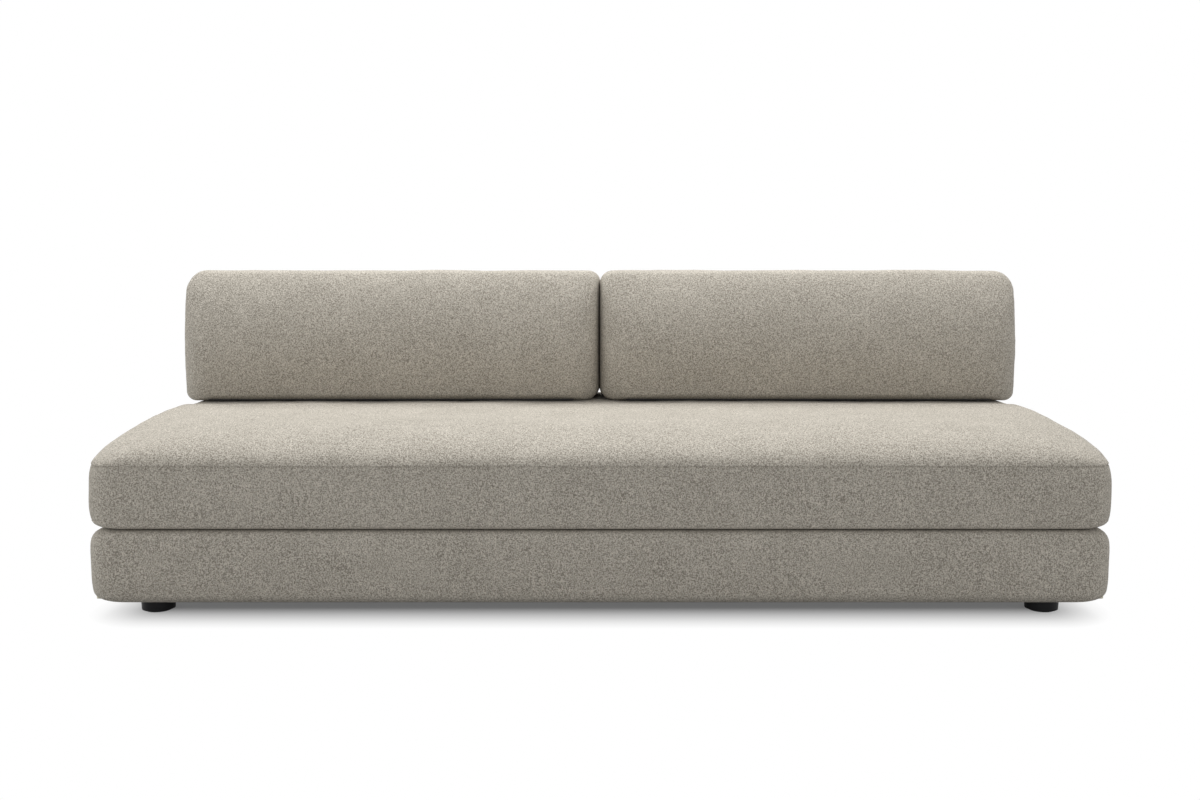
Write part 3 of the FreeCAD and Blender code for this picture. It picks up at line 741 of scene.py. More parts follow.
@dataclass
class Platform:
    """Padded platform: cover, foam, deck, webbing and the cloth below."""

    finishes: Finishes
    proud: float = 1.5 * MM
    corner: float = 61.9 * MM
    bulge: float = 6.2 * MM
    bottom_round: float = 22.0 * MM
    top_round: float = 33.0 * MM
    front_top_round: float = 15.0 * MM
    rim: float = 28.0 * MM
    rim_drop: float = 1.7 * MM
    cloth: float = 2.0 * MM
    clearance: float = 7.0 * MM
    thinnest: float = 4.0 * MM
    hem: float = 81.0 * MM
    hem_corner: float = 8.0 * MM
    rim_height: float = 16.0 * MM
    calm_below: Span = (4.0 * MM, 30.0 * MM)
    calm_above: Span = (1.0 * MM, 14.0 * MM)
    unevenness: Unevenness = Unevenness(0.8 * MM, 240 * MM, 0.35 * MM, 70 * MM, seed=11)

    def cover_rings(self, grid: RingGrid) -> Array:
        """Rings from the inside of the top, down the inside, round the hem and up the outside.

        The top's rim lies a little lower than its middle, so that the seat stands clear of the edge.

        Args:
            grid: cell counts.

        Returns:
            (rings, points, 3) places.
        """
        low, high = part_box("base_cover")
        full = high.z - low.z
        turn = np.linspace(0, np.pi / 2, 8)
        rise = np.concatenate([
            self.bottom_round * (1 - np.cos(turn)),
            np.linspace(self.bottom_round, full - self.top_round, 18)[1:-1],
            full - self.top_round * (1 - np.sin(turn)),
        ])
        side = round_inset(rise, self.bottom_round) + bulge_inset(rise / full, self.bulge) - self.proud
        top_z = low.z + rise - self.rim_drop * smooth_step(full - rise, self.rim_height, 0.0)
        inner_z = np.clip(top_z, low.z + self.cloth, high.z - self.cloth - self.rim_drop)
        outsides = [side + round_inset(full - rise, r) for r in (self.top_round, self.front_top_round)]
        ends, fronts = (
            np.concatenate([(out + self.cloth)[::-1], [self.hem, self.hem], out, out[-1:] + self.rim])
            for out in outsides
        )
        z = np.concatenate([inner_z[::-1], [low.z + self.cloth, low.z], top_z, [high.z]])
        radius = self.corner * np.ones_like(ends)
        radius[len(rise) : len(rise) + 2] = self.hem_corner
        plan = ring_stack(
            grid, (low.x + ends, high.x - ends), (low.y + fronts, high.y - fronts), [radius] * 4
        )
        return raised(plan, z)

    def make_cover(self) -> None:
        """Outer cover with soft undulations that fade out underneath."""
        grid = RingGrid(along=256, across=110, corner=8)
        form = closed_form(grid, self.cover_rings(grid))
        low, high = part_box("base_cover")
        points = form.points
        side = smooth_step(points[:, 2] - low.z, *self.calm_below)
        side = side * smooth_step(high.z - points[:, 2], *self.calm_above)
        form.swell(side * self.unevenness.at(points))
        self.finishes.add_piece("platform_cover", form, "base", Slot.UPHOLSTERY, ["base_cover"], fill=0.9)

    def make_padding(self) -> None:
        """Foam on the four sides, and the deck pad."""
        names = {
            "base_foam_front": "platform_padding_front", "base_foam_rear": "platform_padding_rear",
            "base_foam_left": "platform_padding_left", "base_foam_right": "platform_padding_right",
            "deck_pad": "platform_deck_pad",
        }
        cover_low, cover_high = (np.array(x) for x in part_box("base_cover"))
        for node, name in names.items():
            low, high = (np.array(x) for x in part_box(node))
            if node == "deck_pad":
                form = self.deck_pad(low)
            elif node in ("base_foam_left", "base_foam_right"):
                form = self.side_padding(low, high, inner_side=0 if node == "base_foam_right" else 1)
            else:
                facing = -1 if node == "base_foam_front" else 1
                form = self.long_padding(low, high, facing, cover_low, cover_high)
            self.finishes.add_piece(name, form, "base", Slot.FOAM, [node], fill=1.0)

    def padding_section(self, thickness: Array, low: float, high: float) -> Array:
        """Outline of the foam on a side, flat towards the frame and rounded as the cover is.

        Args:
            thickness: the foam's thickness at each place.
            low: height of its underside.
            high: height of its top.

        Returns:
            (places, 12, 2) as (outwards, height).
        """
        turn = np.linspace(0, np.pi / 2, 5)
        t = thickness[..., None]
        bottom = np.minimum(self.bottom_round, t)
        top = np.minimum(self.top_round, t)
        under = np.stack([t - bottom * (1 - np.sin(turn)), low + bottom * (1 - np.cos(turn))], -1)
        over = np.stack([t - top * (1 - np.cos(turn)), high - top * (1 - np.sin(turn))], -1)
        inner = np.zeros_like(t)
        ends = [np.stack([inner, inner + level], -1) for level in (low, high)]
        return np.concatenate([ends[0], under, over, ends[1]], axis=-2)

    def long_padding(
        self, low: Array, high: Array, facing: int, cover_low: Array, cover_high: Array
    ) -> Form:
        """Foam along the front or the rear, thinner round the platform's corners.

        Its thickness there is what the corner's circle leaves, and it ends at the thinnest.

        Args:
            low: lowest corner of the foam's node.
            high: its highest corner.
            facing: -1 for the front and 1 for the rear.
            cover_low: lowest corner of the cover.
            cover_high: its highest corner.

        Returns:
            The foam.
        """
        inner = high[1] if facing < 0 else low[1]
        outer = cover_low[1] if facing < 0 else cover_high[1]
        full = abs(outer - inner) - self.clearance
        radius = self.corner - self.clearance
        reach = radius - math.sqrt(radius**2 - (radius - full + self.thinnest) ** 2)
        left, right = cover_low[0] + self.clearance + reach, cover_high[0] - self.clearance - reach
        near = radius * np.linspace(0, 1, 9)[:-1]
        middle = np.linspace(left + radius, right - radius, 40)
        along = np.concatenate([left + near, middle, right - near[::-1]])
        corner = np.clip(radius - np.minimum(along - left, right - along) - reach, 0, radius)
        thickness = full - (radius - np.sqrt(radius**2 - corner**2))
        section = self.padding_section(thickness, low[2] + 2 * MM, cover_high[2] - self.clearance)
        points = np.zeros(section.shape[:2] + (3,))
        points[..., 0] = along[:, None]
        points[..., 1] = inner + facing * section[..., 0]
        points[..., 2] = np.minimum(section[..., 1], high[2] - 1 * MM)
        return bar_form(points, facing > 0)

    def side_padding(self, low: Array, high: Array, inner_side: int) -> Form:
        """Foam along an end of the platform.

        Args:
            low: lowest corner of the foam's node.
            high: its highest corner.
            inner_side: which of the two lies towards the frame, 0 for low and 1 for high.

        Returns:
            The foam.
        """
        inner = (low, high)[inner_side][0]
        outer = (high, low)[inner_side][0]
        facing = 1 if outer > inner else -1
        full = abs(outer - inner) - self.clearance + 2 * MM
        along = np.linspace(low[1] + 1 * MM, high[1] - 1 * MM, 24)
        section = self.padding_section(np.full(len(along), full), low[2] + 2 * MM, high[2] - 1 * MM)
        points = np.zeros(section.shape[:2] + (3,))
        points[..., 0] = inner + facing * section[..., 0]
        points[..., 1] = along[:, None]
        points[..., 2] = section[..., 1]
        return bar_form(points, facing < 0)

    def deck_pad(self, low: Array) -> Form:
        """Pad on the deck: the cover's own upper rings, drawn in.

        Args:
            low: lowest corner of the pad's node.

        Returns:
            The pad.
        """
        grid = RingGrid(along=110, across=48, corner=5)
        rings = self.cover_rings(grid)
        outer = rings[len(rings) // 2 + 1 :]
        outer = outer[outer[:, 0, 2] > low[2]]
        first = outer[:1].copy()
        first[..., 2] = low[2] - self.clearance
        form = closed_form(grid, np.concatenate([first, outer]))
        form.swell(np.full(len(form.points), -self.clearance))
        return form

    def make_cloths(self) -> None:
        """Deck cloth and dust cover, both stretched flat and stapled at their edges."""
        for node, ripple in (("deck_cloth", 0.0), ("dust_cover", 0.25 * MM)):
            low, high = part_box(node)
            form = stretched_cloth(np.array(low), np.array(high), ripple, seed=31)
            piece = self.finishes.add_piece(node + "_sheet", form, "base", Slot.LINING, [node])

    def build(self) -> None:
        """Makes every piece of the platform."""
        self.make_cover()
        self.make_padding()
        self.make_cloths()
        Webbing(self.finishes).build()


def bar_form(points: Array, turned: bool) -> Form:
    """Closed bar through outlines, with its ends filled by strips.

    Args:
        points: (n, m, 3) places: n outlines with m points each, m even.
        turned: whether the outlines go round the other way.

    Returns:
        The bar.
    """
    n, m = points.shape[:2]
    here, after = np.arange(m), (np.arange(m) + 1) % m
    base = np.arange(n - 1)[:, None] * m
    walls = np.stack([base + here, base + m + here, base + m + after, base + after], -1).reshape(-1, 4)
    k = np.arange(m // 2 - 1)
    strip = np.stack([k, k + 1, m - 2 - k, m - 1 - k], -1)
    faces = np.concatenate([walls, strip, (strip + (n - 1) * m)[:, ::-1]])
    return Form(points.reshape(-1, 3), faces[:, ::-1] if turned else faces)


def stretched_cloth(low: Array, high: Array, ripple: float, seed: int) -> Form:
    """Thin closed sheet with a faint ripple that dies out at its stapled edges.

    Args:
        low: lowest corner of the sheet.
        high: its highest corner.
        ripple: height of the ripple.
        seed: start of the random draws.

    Returns:
        The sheet.
    """
    grid = RingGrid(along=96, across=44, corner=2)
    both = np.ones(2)
    plan = ring_stack(
        grid, (low[0] * both, high[0] * both), (low[1] * both, high[1] * both), [4 * MM * both] * 4
    )
    form = closed_form(grid, raised(plan, np.array([low[2], high[2]])))
    edge = np.minimum(form.points[:, 0] - low[0], high[0] - form.points[:, 0])
    edge = np.minimum(edge, np.minimum(form.points[:, 1] - low[1], high[1] - form.points[:, 1]))
    flat = form.points * np.array([1, 1, 0])
    lift = ripple * (1 + smooth_field(flat, 0.16, seed)) * smooth_step(edge, 0, 60 * MM)
    form.points[:, 2] += lift
    return form


@dataclass
class Webbing:
    """The woven deck of elastic straps."""

    finishes: Finishes
    width: float = 70.0 * MM
    thickness: float = 1.9 * MM
    selvedge: float = 1.0 * MM
    ramp: Span = (4.0 * MM, 30.0 * MM)

    def straps(self, node: str, axis: int) -> tuple[Array, Span, Span]:
        """Where a node's straps lie, found from its own edges.

        Args:
            node: the CAD node.
            axis: the axis that the straps run along, 0 for X and 1 for Y.

        Returns:
            Their middles across their run, the ends of the run, and their heights.
        """
        places = np.array([vertex.co[1 - axis] for vertex in frame["nodes"][node].data.vertices])
        edges = np.unique(np.round(places, 5))
        first_edges = [edge for edge in edges if np.any(np.abs(edges - edge - self.width) < 1e-4)]
        return np.array(first_edges) + self.width / 2, node_span(node, axis), node_span(node, 2)

    def weave(self, name: str, node: str, axis: int, crossings: Array, parity: int) -> None:
        """Straps of one direction, each going over and under those that it crosses.

        A strap lies low, and is held at its high level over every second crossing, with a smooth ramp
        down to each side.

        Args:
            name: the piece's name.
            node: the CAD node that it stands for.
            axis: the axis that the straps run along.
            crossings: middles of the straps that they cross.
            parity: 0 if the first strap goes over the first crossing, 1 if it goes under.
        """
        middles, run, heights = self.straps(node, axis)
        low = heights[0] + self.thickness / 2
        high = heights[1] - self.thickness / 2
        along = np.linspace(run[0], run[1], 260 if axis == 0 else 130)
        half, thin = self.width / 2, self.thickness / 2
        flat, edge = half - self.selvedge, thin * 0.4
        section = np.array([
            (-half, -edge), (-flat, -thin), (flat, -thin), (half, -edge),
            (half, edge), (flat, thin), (-flat, thin), (-half, edge),
        ])
        form = None
        for number, middle in enumerate(middles):
            level = np.full(len(along), low)
            for index, place in enumerate(crossings):
                if (index + number + parity) % 2 == 0:
                    near = 1 - smooth_step(np.abs(along - place) - half, *self.ramp)
                    level = np.maximum(level, low + (high - low) * near)
            path = np.zeros((len(along), 3))
            path[:, axis] = along
            path[:, 1 - axis] = middle
            path[:, 2] = level
            sideways = (0, 1, 0) if axis == 0 else (-1, 0, 0)
            strap = swept(section, path, sideways, (0, 0, 1))
            strap.faces = strap.faces[:, ::-1]
            form = strap if form is None else form.joined(strap)
        self.finishes.add_piece(name, form, "base", Slot.WEBBING, [node], smooth=False)

    def build(self) -> None:
        """Makes both directions."""
        columns, _, _ = self.straps("webbing_front_to_rear", 1)
        rows, _, _ = self.straps("webbing_lengthwise", 0)
        self.weave("straps_front_to_rear", "webbing_front_to_rear", 1, rows, 0)
        self.weave("straps_lengthwise", "webbing_lengthwise", 0, columns, 1)


# Zips


@dataclass
class Zip:
    """Closed zip: ribbed tape, interlocked coil, and the folds of cloth that flank it."""

    finishes: Finishes
    tape_node: str
    body: str
    label: str
    pitch: float = 2.6 * MM
    fold_width: float = 6.5 * MM
    fold_height: float = 1.4 * MM
    fold_sunk: float = 1.0 * MM
    fold_overlap: float = 1.5 * MM
    coil_half: float = 2.0 * MM
    coil_height: float = 0.9 * MM
    tape_half: float = 0.6 * MM

    def build(self) -> None:
        """Makes the tape with its coil, and the two folds."""
        low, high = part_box(self.tape_node)
        middle = (low.z + high.z) / 2
        face = high.y - self.coil_height
        path = np.array([[low.x, 0, 0], [high.x, 0, 0]], float)
        half, thin = (high.z - low.z) / 2, self.tape_half
        section = np.array([(-half, -thin), (half, -thin), (half, thin), (-half, thin)])
        tape = swept(section, path + np.array([0, face - thin, middle]), (0, 0, 1), (0, 1, 0))
        coil = self.coil(low.x, high.x, face, middle)
        self.finishes.add_piece(
            self.label + "_tape", tape.joined(coil), self.body, Slot.ZIP_TAPE, [self.tape_node], smooth=False
        )
        folds = None
        turn = np.linspace(0, np.pi, 8)
        wide = self.fold_width / 2
        bow = np.stack([wide * np.cos(turn), self.fold_height * np.sin(turn)], -1)
        outline = np.concatenate([bow, [(-wide, -self.fold_sunk), (wide, -self.fold_sunk)]])
        along = np.linspace(low.x - 10 * MM, high.x + 10 * MM, 160)
        for side in (-1, 1):
            line = np.zeros((len(along), 3))
            line[:, 0] = along
            line[:, 1] = face - 0.4 * MM
            line[:, 2] = middle + side * (half - wide + self.fold_overlap)
            line[:, 2] += 0.5 * MM * smooth_field(line, 0.05, 71 + side)
            fold = swept(outline, line, (0, 0, 1), (0, 1, 0))
            folds = fold if folds is None else folds.joined(fold)
        piece = make_object(self.label + "_folds", folds, self.finishes.by_slot[Slot.UPHOLSTERY])
        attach(piece, self.body)

    def coil(self, left: float, right: float, face: float, middle: float) -> Form:
        """Interlocked turns of the coil: small slanted bars, alternately from above and below.

        Args:
            left: lowest X of the coil.
            right: its highest X.
            face: Y of the tape's face.
            middle: height of the coil's middle.

        Returns:
            The coil.
        """
        count = int((right - left) / self.pitch)
        places = left + self.pitch * (np.arange(count) + 0.5)
        lean = np.where(np.arange(count) % 2 == 0, 1.0, -1.0) * 0.4 * MM
        outline = ((-1, 0), (1, 0), (0.6, 1), (-0.6, 1))
        bar = np.array([(x, y, z) for z in (-self.coil_half, self.coil_half) for x, y in outline])
        bar *= np.array([self.pitch * 0.42, 0.85 * MM, 1.0])
        points = np.repeat(bar[None], count, axis=0)
        points[:, :, 0] += places[:, None] + lean[:, None] * np.sign(bar[:, 2])
        points[:, :, 1] += face
        points[:, :, 2] += middle
        faces = np.array([
            (0, 1, 2, 3), (7, 6, 5, 4), (0, 4, 5, 1), (1, 5, 6, 2), (2, 6, 7, 3), (3, 7, 4, 0),
        ])
        every = faces[None] + 8 * np.arange(count)[:, None, None]
        return Form(points.reshape(-1, 3), every.reshape(-1, 4))


# The bench cushion


@dataclass
class BenchCushion:
    """Long seat cushion: boxing with a rounded lower edge, and a crowned top."""

    finishes: Finishes
    proud: float = 1.3 * MM
    corner: float = 66.2 * MM
    bulge: float = 5.8 * MM
    bottom_round: float = 19.0 * MM
    front_round: float = 10.0 * MM
    rim: float = 28.0 * MM
    rim_lift: float = 1.7 * MM
    rim_height: float = 16.0 * MM
    side_reach: float = 45.4 * MM
    front_reach: float = 264.0 * MM
    rear_reach: float = 45.0 * MM
    front_growth: float = 276.7 * MM
    rear_growth: float = 60.0 * MM
    rise: float = 1.6
    front_rise: float = 1.86
    roundness: float = 2.15
    press: float = 3.4 * MM
    press_at_ends: float = 2.4 * MM
    press_depth: Span = (70.0 * MM, 150.0 * MM)
    tape_proud: float = 2.0 * MM
    clearance: float = 7.0 * MM
    filling_gap: float = 0.4 * MM
    calm_below: Span = (3.0 * MM, 30.0 * MM)
    calm_rear: float = 60.0 * MM
    calm_seam: float = 10.0 * MM
    seam: Seam = Seam(depth=1.5 * MM, lip=0.7 * MM)
    unevenness: Unevenness = Unevenness(0.9 * MM, 300 * MM, 0.4 * MM, 85 * MM, seed=21)

    def rings(self, grid: RingGrid, sewn: bool = True) -> Array:
        """Rings up the boxing and over the crown.

        Args:
            grid: cell counts.
            sewn: whether the two seams are worked in.

        Returns:
            (rings, points, 3) places.
        """
        low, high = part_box("seat_boxing")
        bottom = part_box("seat_bottom_panel")[0].z
        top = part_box("seat_top_panel")[1].z
        seam_z = high.z
        lower_seam = bottom + self.bottom_round
        full = top - seam_z
        turn = np.linspace(0, np.pi / 2, 8)
        upright = np.linspace(lower_seam, seam_z, 14)[1:]
        z = np.concatenate([bottom + self.bottom_round * (1 - np.cos(turn)), upright])
        if sewn:
            z = with_seam(z, lower_seam, 9 * MM, 6)
            z = with_seam(z, seam_z, 11 * MM, 7)
            z = z[(z <= seam_z) & (z >= bottom)]
        height = z - bottom
        box = np.stack([
            round_inset(height, radius) + bulge_inset(height / (seam_z - bottom), self.bulge, flat)
            for radius, flat in ((self.bottom_round, 0.3), (self.front_round, 0.0), (self.front_round, 0.3))
        ], -1)

        def front_crown(share: Array) -> Array:
            return crown_inset(share, self.front_reach, self.rise, self.roundness)

        shares = even_shares(front_crown, full, 40)
        close = with_seam(shares * full, 0.0, 11 * MM, 7) / full
        shares = close[close > 0] if sewn else shares[1:]
        reaches = np.array([self.side_reach, self.front_reach, self.rear_reach])
        rises = np.array([self.rise, self.front_rise, self.rise])
        crown = self.bulge + crown_inset(shares[:, None], reaches, rises, self.roundness)
        insets = np.concatenate([box, crown]) - self.proud
        heights = np.concatenate([z, seam_z + full * shares])
        if sewn:
            insets += self.seam.inset(heights - seam_z)[:, None]
            insets += 0.5 * self.seam.inset(lower_seam - heights)[:, None]
        insets = np.concatenate([insets[:1] + self.rim, insets])
        lift = self.rim_lift * (1 - smooth_step(heights, bottom, bottom + self.rim_height))
        heights = np.concatenate([[bottom], heights + lift])
        growth = np.concatenate([np.zeros(len(z) + 1), shares**self.rise])
        front = self.corner + self.front_growth * growth
        rear = self.corner + self.rear_growth * growth
        plan = ring_stack(
            grid, (low.x + insets[:, 0], high.x - insets[:, 0]),
            (low.y + insets[:, 1], self.rear(high.y, insets)), [front, front, rear, rear],
        )
        return raised(plan, heights)

    def rear(self, rear_face: float, insets: Array) -> Array:
        """Rear edge of each ring, drawn in so far that the zip's tape stands proud of it."""
        return rear_face - insets[:, 2] - self.proud - self.tape_proud

    def shape_top(self, form: Form) -> None:
        """Lets the top sink a little below the back cushions, and most at their outer ends."""
        seam_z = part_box("seat_boxing")[1].z
        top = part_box("seat_top_panel")[1].z
        x, y, z = form.points.T
        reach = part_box("seat_boxing")[1].x
        depth = self.press + self.press_at_ends * np.clip(np.abs(x) / reach, 0, 1) ** 4
        form.points[:, 2] = z - depth * smooth_step(y, *self.press_depth) * smooth_step(z, seam_z, top)

    def build(self) -> None:
        """Makes the cover, its fillings and the zip."""
        grid = RingGrid(along=280, across=118, corner=12)
        form = closed_form(grid, self.rings(grid))
        low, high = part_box("seat_boxing")
        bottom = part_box("seat_bottom_panel")[0].z
        points = form.points
        away = points[:, 2] - high.z
        loose = smooth_step(points[:, 2] - bottom, *self.calm_below)
        loose = loose * (1 - 0.7 * np.exp(-((away / self.calm_seam) ** 2)))
        loose = loose * smooth_step(high.y - points[:, 1], 0, self.calm_rear)
        amount = loose * self.unevenness.at(points)
        amount += self.seam.pucker(points, away, 0.30 * MM, 23)
        form.swell(amount)
        self.shape_top(form)
        nodes = ["seat_boxing", "seat_bottom_panel", "seat_top_panel"]
        self.finishes.add_piece("bench_cover", form, "seat_cushion", Slot.UPHOLSTERY, nodes, fill=0.9)
        self.make_fillings()
        Zip(self.finishes, "seat_zip_tape", "seat_cushion", "bench_closure").build()

    def make_fillings(self) -> None:
        """Foam core below the seam and fibre above it, both shrunk from the cover's own form."""
        grid = RingGrid(along=120, across=52, corner=6)
        rings = self.rings(grid, sewn=False)
        seam_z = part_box("seat_boxing")[1].z
        split = int(np.searchsorted(rings[:, 0, 2], seam_z + 1e-6))
        lid, sole = rings[split - 1 : split].copy(), rings[split - 1 : split].copy()
        lid[..., 2] += self.clearance - self.filling_gap
        sole[..., 2] -= self.clearance - self.filling_gap
        core, topper = np.concatenate([rings[:split], lid]), np.concatenate([sole, rings[split - 1 :]])
        for name, part, node, slot in (
            ("bench_foam_core", core, "seat_foam", Slot.FOAM),
            ("bench_fibre_topper", topper, "seat_topper", Slot.FIBRE),
        ):
            form = closed_form(grid, part)
            form.swell(np.full(len(form.points), -self.clearance))
            self.shape_top(form)
            self.finishes.add_piece(name, form, "seat_cushion", slot, [node], fill=0.9)


# The back cushions


class Side(Enum):
    """Which of the two back cushions."""

    LEFT = -1
    RIGHT = 1


@dataclass
class BackCushion:
    """Upright cushion with a leaning crowned front, a band that bulges and a gently crowned rear."""

    finishes: Finishes
    side: Side
    bulge: float = 6.5 * MM
    band_flat: float = 0.62
    front_crown: float = 50.0 * MM
    front_reach: float = 78.0 * MM
    front_reach_top: float = 185.0 * MM
    front_reach_bottom: float = 22.0 * MM
    bottom_bulge: float = 1.5 * MM
    rear_crown: float = 22.0 * MM
    rear_reach: float = 60.0 * MM
    rear_reach_bottom: float = 42.0 * MM
    rise: float = 1.55
    roundness: float = 2.1
    bottom_inner: float = 26.0 * MM
    bottom_outer: float = 22.0 * MM
    top_outer: float = 49.0 * MM
    top_inner: float = 35.0 * MM
    corner_growth: float = 0.12
    corner_limit: float = 0.46
    lean: float = math.radians(5)
    belly: float = 14.0 * MM
    belly_height: float = 0.42
    belly_power: float = 1.9
    belly_at_ends: float = 0.6
    belly_fall: Span = (44.0 * MM, 44.0 * MM)
    end_taper: Span = (-6.0 * MM, -2.0 * MM)
    sag: float = 6.8 * MM
    sag_at_ends: float = 2.8 * MM
    sag_depth: Span = (75.0 * MM, 25.0 * MM)
    sag_height: float = 120.0 * MM
    end_width: float = 160.0 * MM
    meeting_gap: float = 0.9 * MM
    meeting_curve: float = 2.2 * MM
    meeting_width: float = 90.0 * MM
    clearance: float = 8.0 * MM
    seam: Seam = Seam(depth=1.6 * MM, lip=0.6 * MM)

    @property
    def hand(self) -> str:
        """left or right."""
        return self.side.name.lower()

    def rings(self, grid: RingGrid, sewn: bool = True) -> Array:
        """Rings from the rear face forwards.

        Args:
            grid: cell counts.
            sewn: whether the two seams are worked in.

        Returns:
            (rings, points, 3) as across, up and depth in front of the rear face.
        """
        low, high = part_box(f"back_{self.hand}_band")
        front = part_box(f"back_{self.hand}_front_panel")[0].y
        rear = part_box(f"back_{self.hand}_rear_panel")[1].y
        thickness = rear - front
        front_seam = thickness - self.front_crown

        def crown(share: Array, reach: float) -> Array:
            return crown_inset(share, reach, self.rise, self.roundness)

        behind = even_shares(lambda h: crown(h, self.rear_reach), self.rear_crown, 10)[::-1]
        ahead = even_shares(lambda h: crown(h, self.front_reach), self.front_crown, 28)
        depth = np.concatenate([
            self.rear_crown * (1 - behind), np.linspace(self.rear_crown, front_seam, 24)[1:],
            front_seam + self.front_crown * ahead[1:],
        ])
        if sewn:
            depth = with_seam(depth, self.rear_crown, 9 * MM, 6)
            depth = with_seam(depth, front_seam, 9 * MM, 6)
        along_band = np.clip((depth - self.rear_crown) / (front_seam - self.rear_crown), 0, 1)
        sides, top, bottom = (
            bulge_inset(along_band, bulge, self.band_flat)
            + crown((self.rear_crown - depth) / self.rear_crown, rear_reach)
            + crown((depth - front_seam) / self.front_crown, front_reach)
            for bulge, rear_reach, front_reach in (
                (self.bulge, self.rear_reach, self.front_reach),
                (self.bulge, self.rear_reach, self.front_reach_top),
                (self.bottom_bulge, self.rear_reach_bottom, self.front_reach_bottom),
            )
        )
        if sewn:
            groove = self.seam.inset(depth - front_seam) + self.seam.inset(self.rear_crown - depth)
            sides, top, bottom = sides + groove, top + groove, bottom + np.maximum(groove, 0)
        corners = [self.bottom_inner, self.bottom_outer, self.top_outer, self.top_inner]
        if self.side is Side.LEFT:
            corners = [corners[1], corners[0], corners[3], corners[2]]
        up = high.z - low.z
        grown = self.corner_growth * np.clip(sides - self.bulge, 0, None)
        largest = self.corner_limit * (up - top - bottom)
        radii = [np.minimum(radius + grown, largest) for radius in corners]
        plan = ring_stack(grid, (low.x + sides, high.x - sides), (bottom, up - top), radii)
        return raised(plan, depth)

    def stand_up(self, form: Form) -> None:
        """Turns (across, up, depth) into places: the front leans, and its face has a low belly.

        The lean moves a point back by its height times the lean's tangent. The face is fullest at
        belly_height and falls back from there to its bottom and its top. Both moves are in
        proportion to the point's depth. The front's underside sinks a little into the seat, the inner
        side is moved towards the other cushion and curved so that the two nest, and the outer side is
        drawn out a little below and above its middle.

        Args:
            form: the cushion as its rings give it; its places are changed.
        """
        low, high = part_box(f"back_{self.hand}_band")
        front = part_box(f"back_{self.hand}_front_panel")[0].y
        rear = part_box(f"back_{self.hand}_rear_panel")[1].y
        thickness = rear - front
        across, up, depth = form.points.T
        u = 2 * (across - low.x) / (high.x - low.x) - 1
        away = up / (high.z - low.z) - self.belly_height
        below = np.clip(-away / self.belly_height, 0, 1)
        above = np.clip(away / (1 - self.belly_height), 0, 1)
        fall = below**self.belly_power * self.belly_fall[0] + above**2 * self.belly_fall[1]
        fall = fall + self.belly_at_ends * self.belly * u**4 - self.belly
        y = rear - depth + (fall + math.tan(self.lean) * up) * depth / thickness
        reach = max(abs(low.x), abs(high.x))
        sink = self.sag * smooth_step(depth, *(thickness - x for x in self.sag_depth))
        sink = sink + self.sag_at_ends * (np.abs(across) / reach) ** 6
        sink = sink * smooth_step(-up, -self.sag_height, 0.0)
        inner = min(abs(low.x), abs(high.x))
        beside = 1 - smooth_step(np.abs(across), inner, inner + self.meeting_width)
        outside = smooth_step(np.abs(across), reach - self.end_width, reach)
        taper = below**2 * self.end_taper[0] + above**2 * self.end_taper[1]
        inwards = -self.side.value * (inner - self.meeting_gap)
        curve = self.meeting_curve * np.sin(2 * np.pi * (rear - y) / thickness)
        across = across + beside * (inwards + curve) - self.side.value * outside * taper
        form.points = np.stack([across, y, low.z + up - sink], axis=-1)

    def build(self) -> None:
        """Makes the cover, its filling and the zip."""
        grid = RingGrid(along=150, across=50, corner=8)
        form = closed_form(grid, self.rings(grid))
        depth = form.points[:, 2].copy()
        thickness = depth.max()
        front_seam = thickness - self.front_crown
        up = form.points[:, 1].copy()
        self.stand_up(form)
        points = form.points
        seed = 41 if self.side is Side.LEFT else 51
        soft = Unevenness(1.0 * MM, 260 * MM, 0.35 * MM, 80 * MM, seed).at(points)
        amount = soft * smooth_step(up, 4 * MM, 40 * MM) * smooth_step(depth, 1 * MM, 30 * MM)
        amount *= smooth_step(np.abs(points[:, 0]), 8 * MM, 60 * MM)
        amount += self.seam.pucker(points, depth - front_seam, 0.25 * MM, seed + 2)
        form.swell(amount)
        body = f"back_{self.hand}"
        nodes = [f"{body}_{panel}" for panel in ("front_panel", "band", "rear_panel")]
        self.finishes.add_piece(f"{body}_cover", form, body, Slot.UPHOLSTERY, nodes, fill=0.85)
        grid = RingGrid(along=70, across=24, corner=5)
        filling = closed_form(grid, self.rings(grid, sewn=False))
        self.stand_up(filling)
        filling.swell(np.full(len(filling.points), -self.clearance))
        self.finishes.add_piece(f"{body}_filling", filling, body, Slot.FOAM, [f"{body}_foam"], fill=0.85)
        Zip(self.finishes, f"{body}_zip_tape", body, f"{body}_closure").build()


# Studio


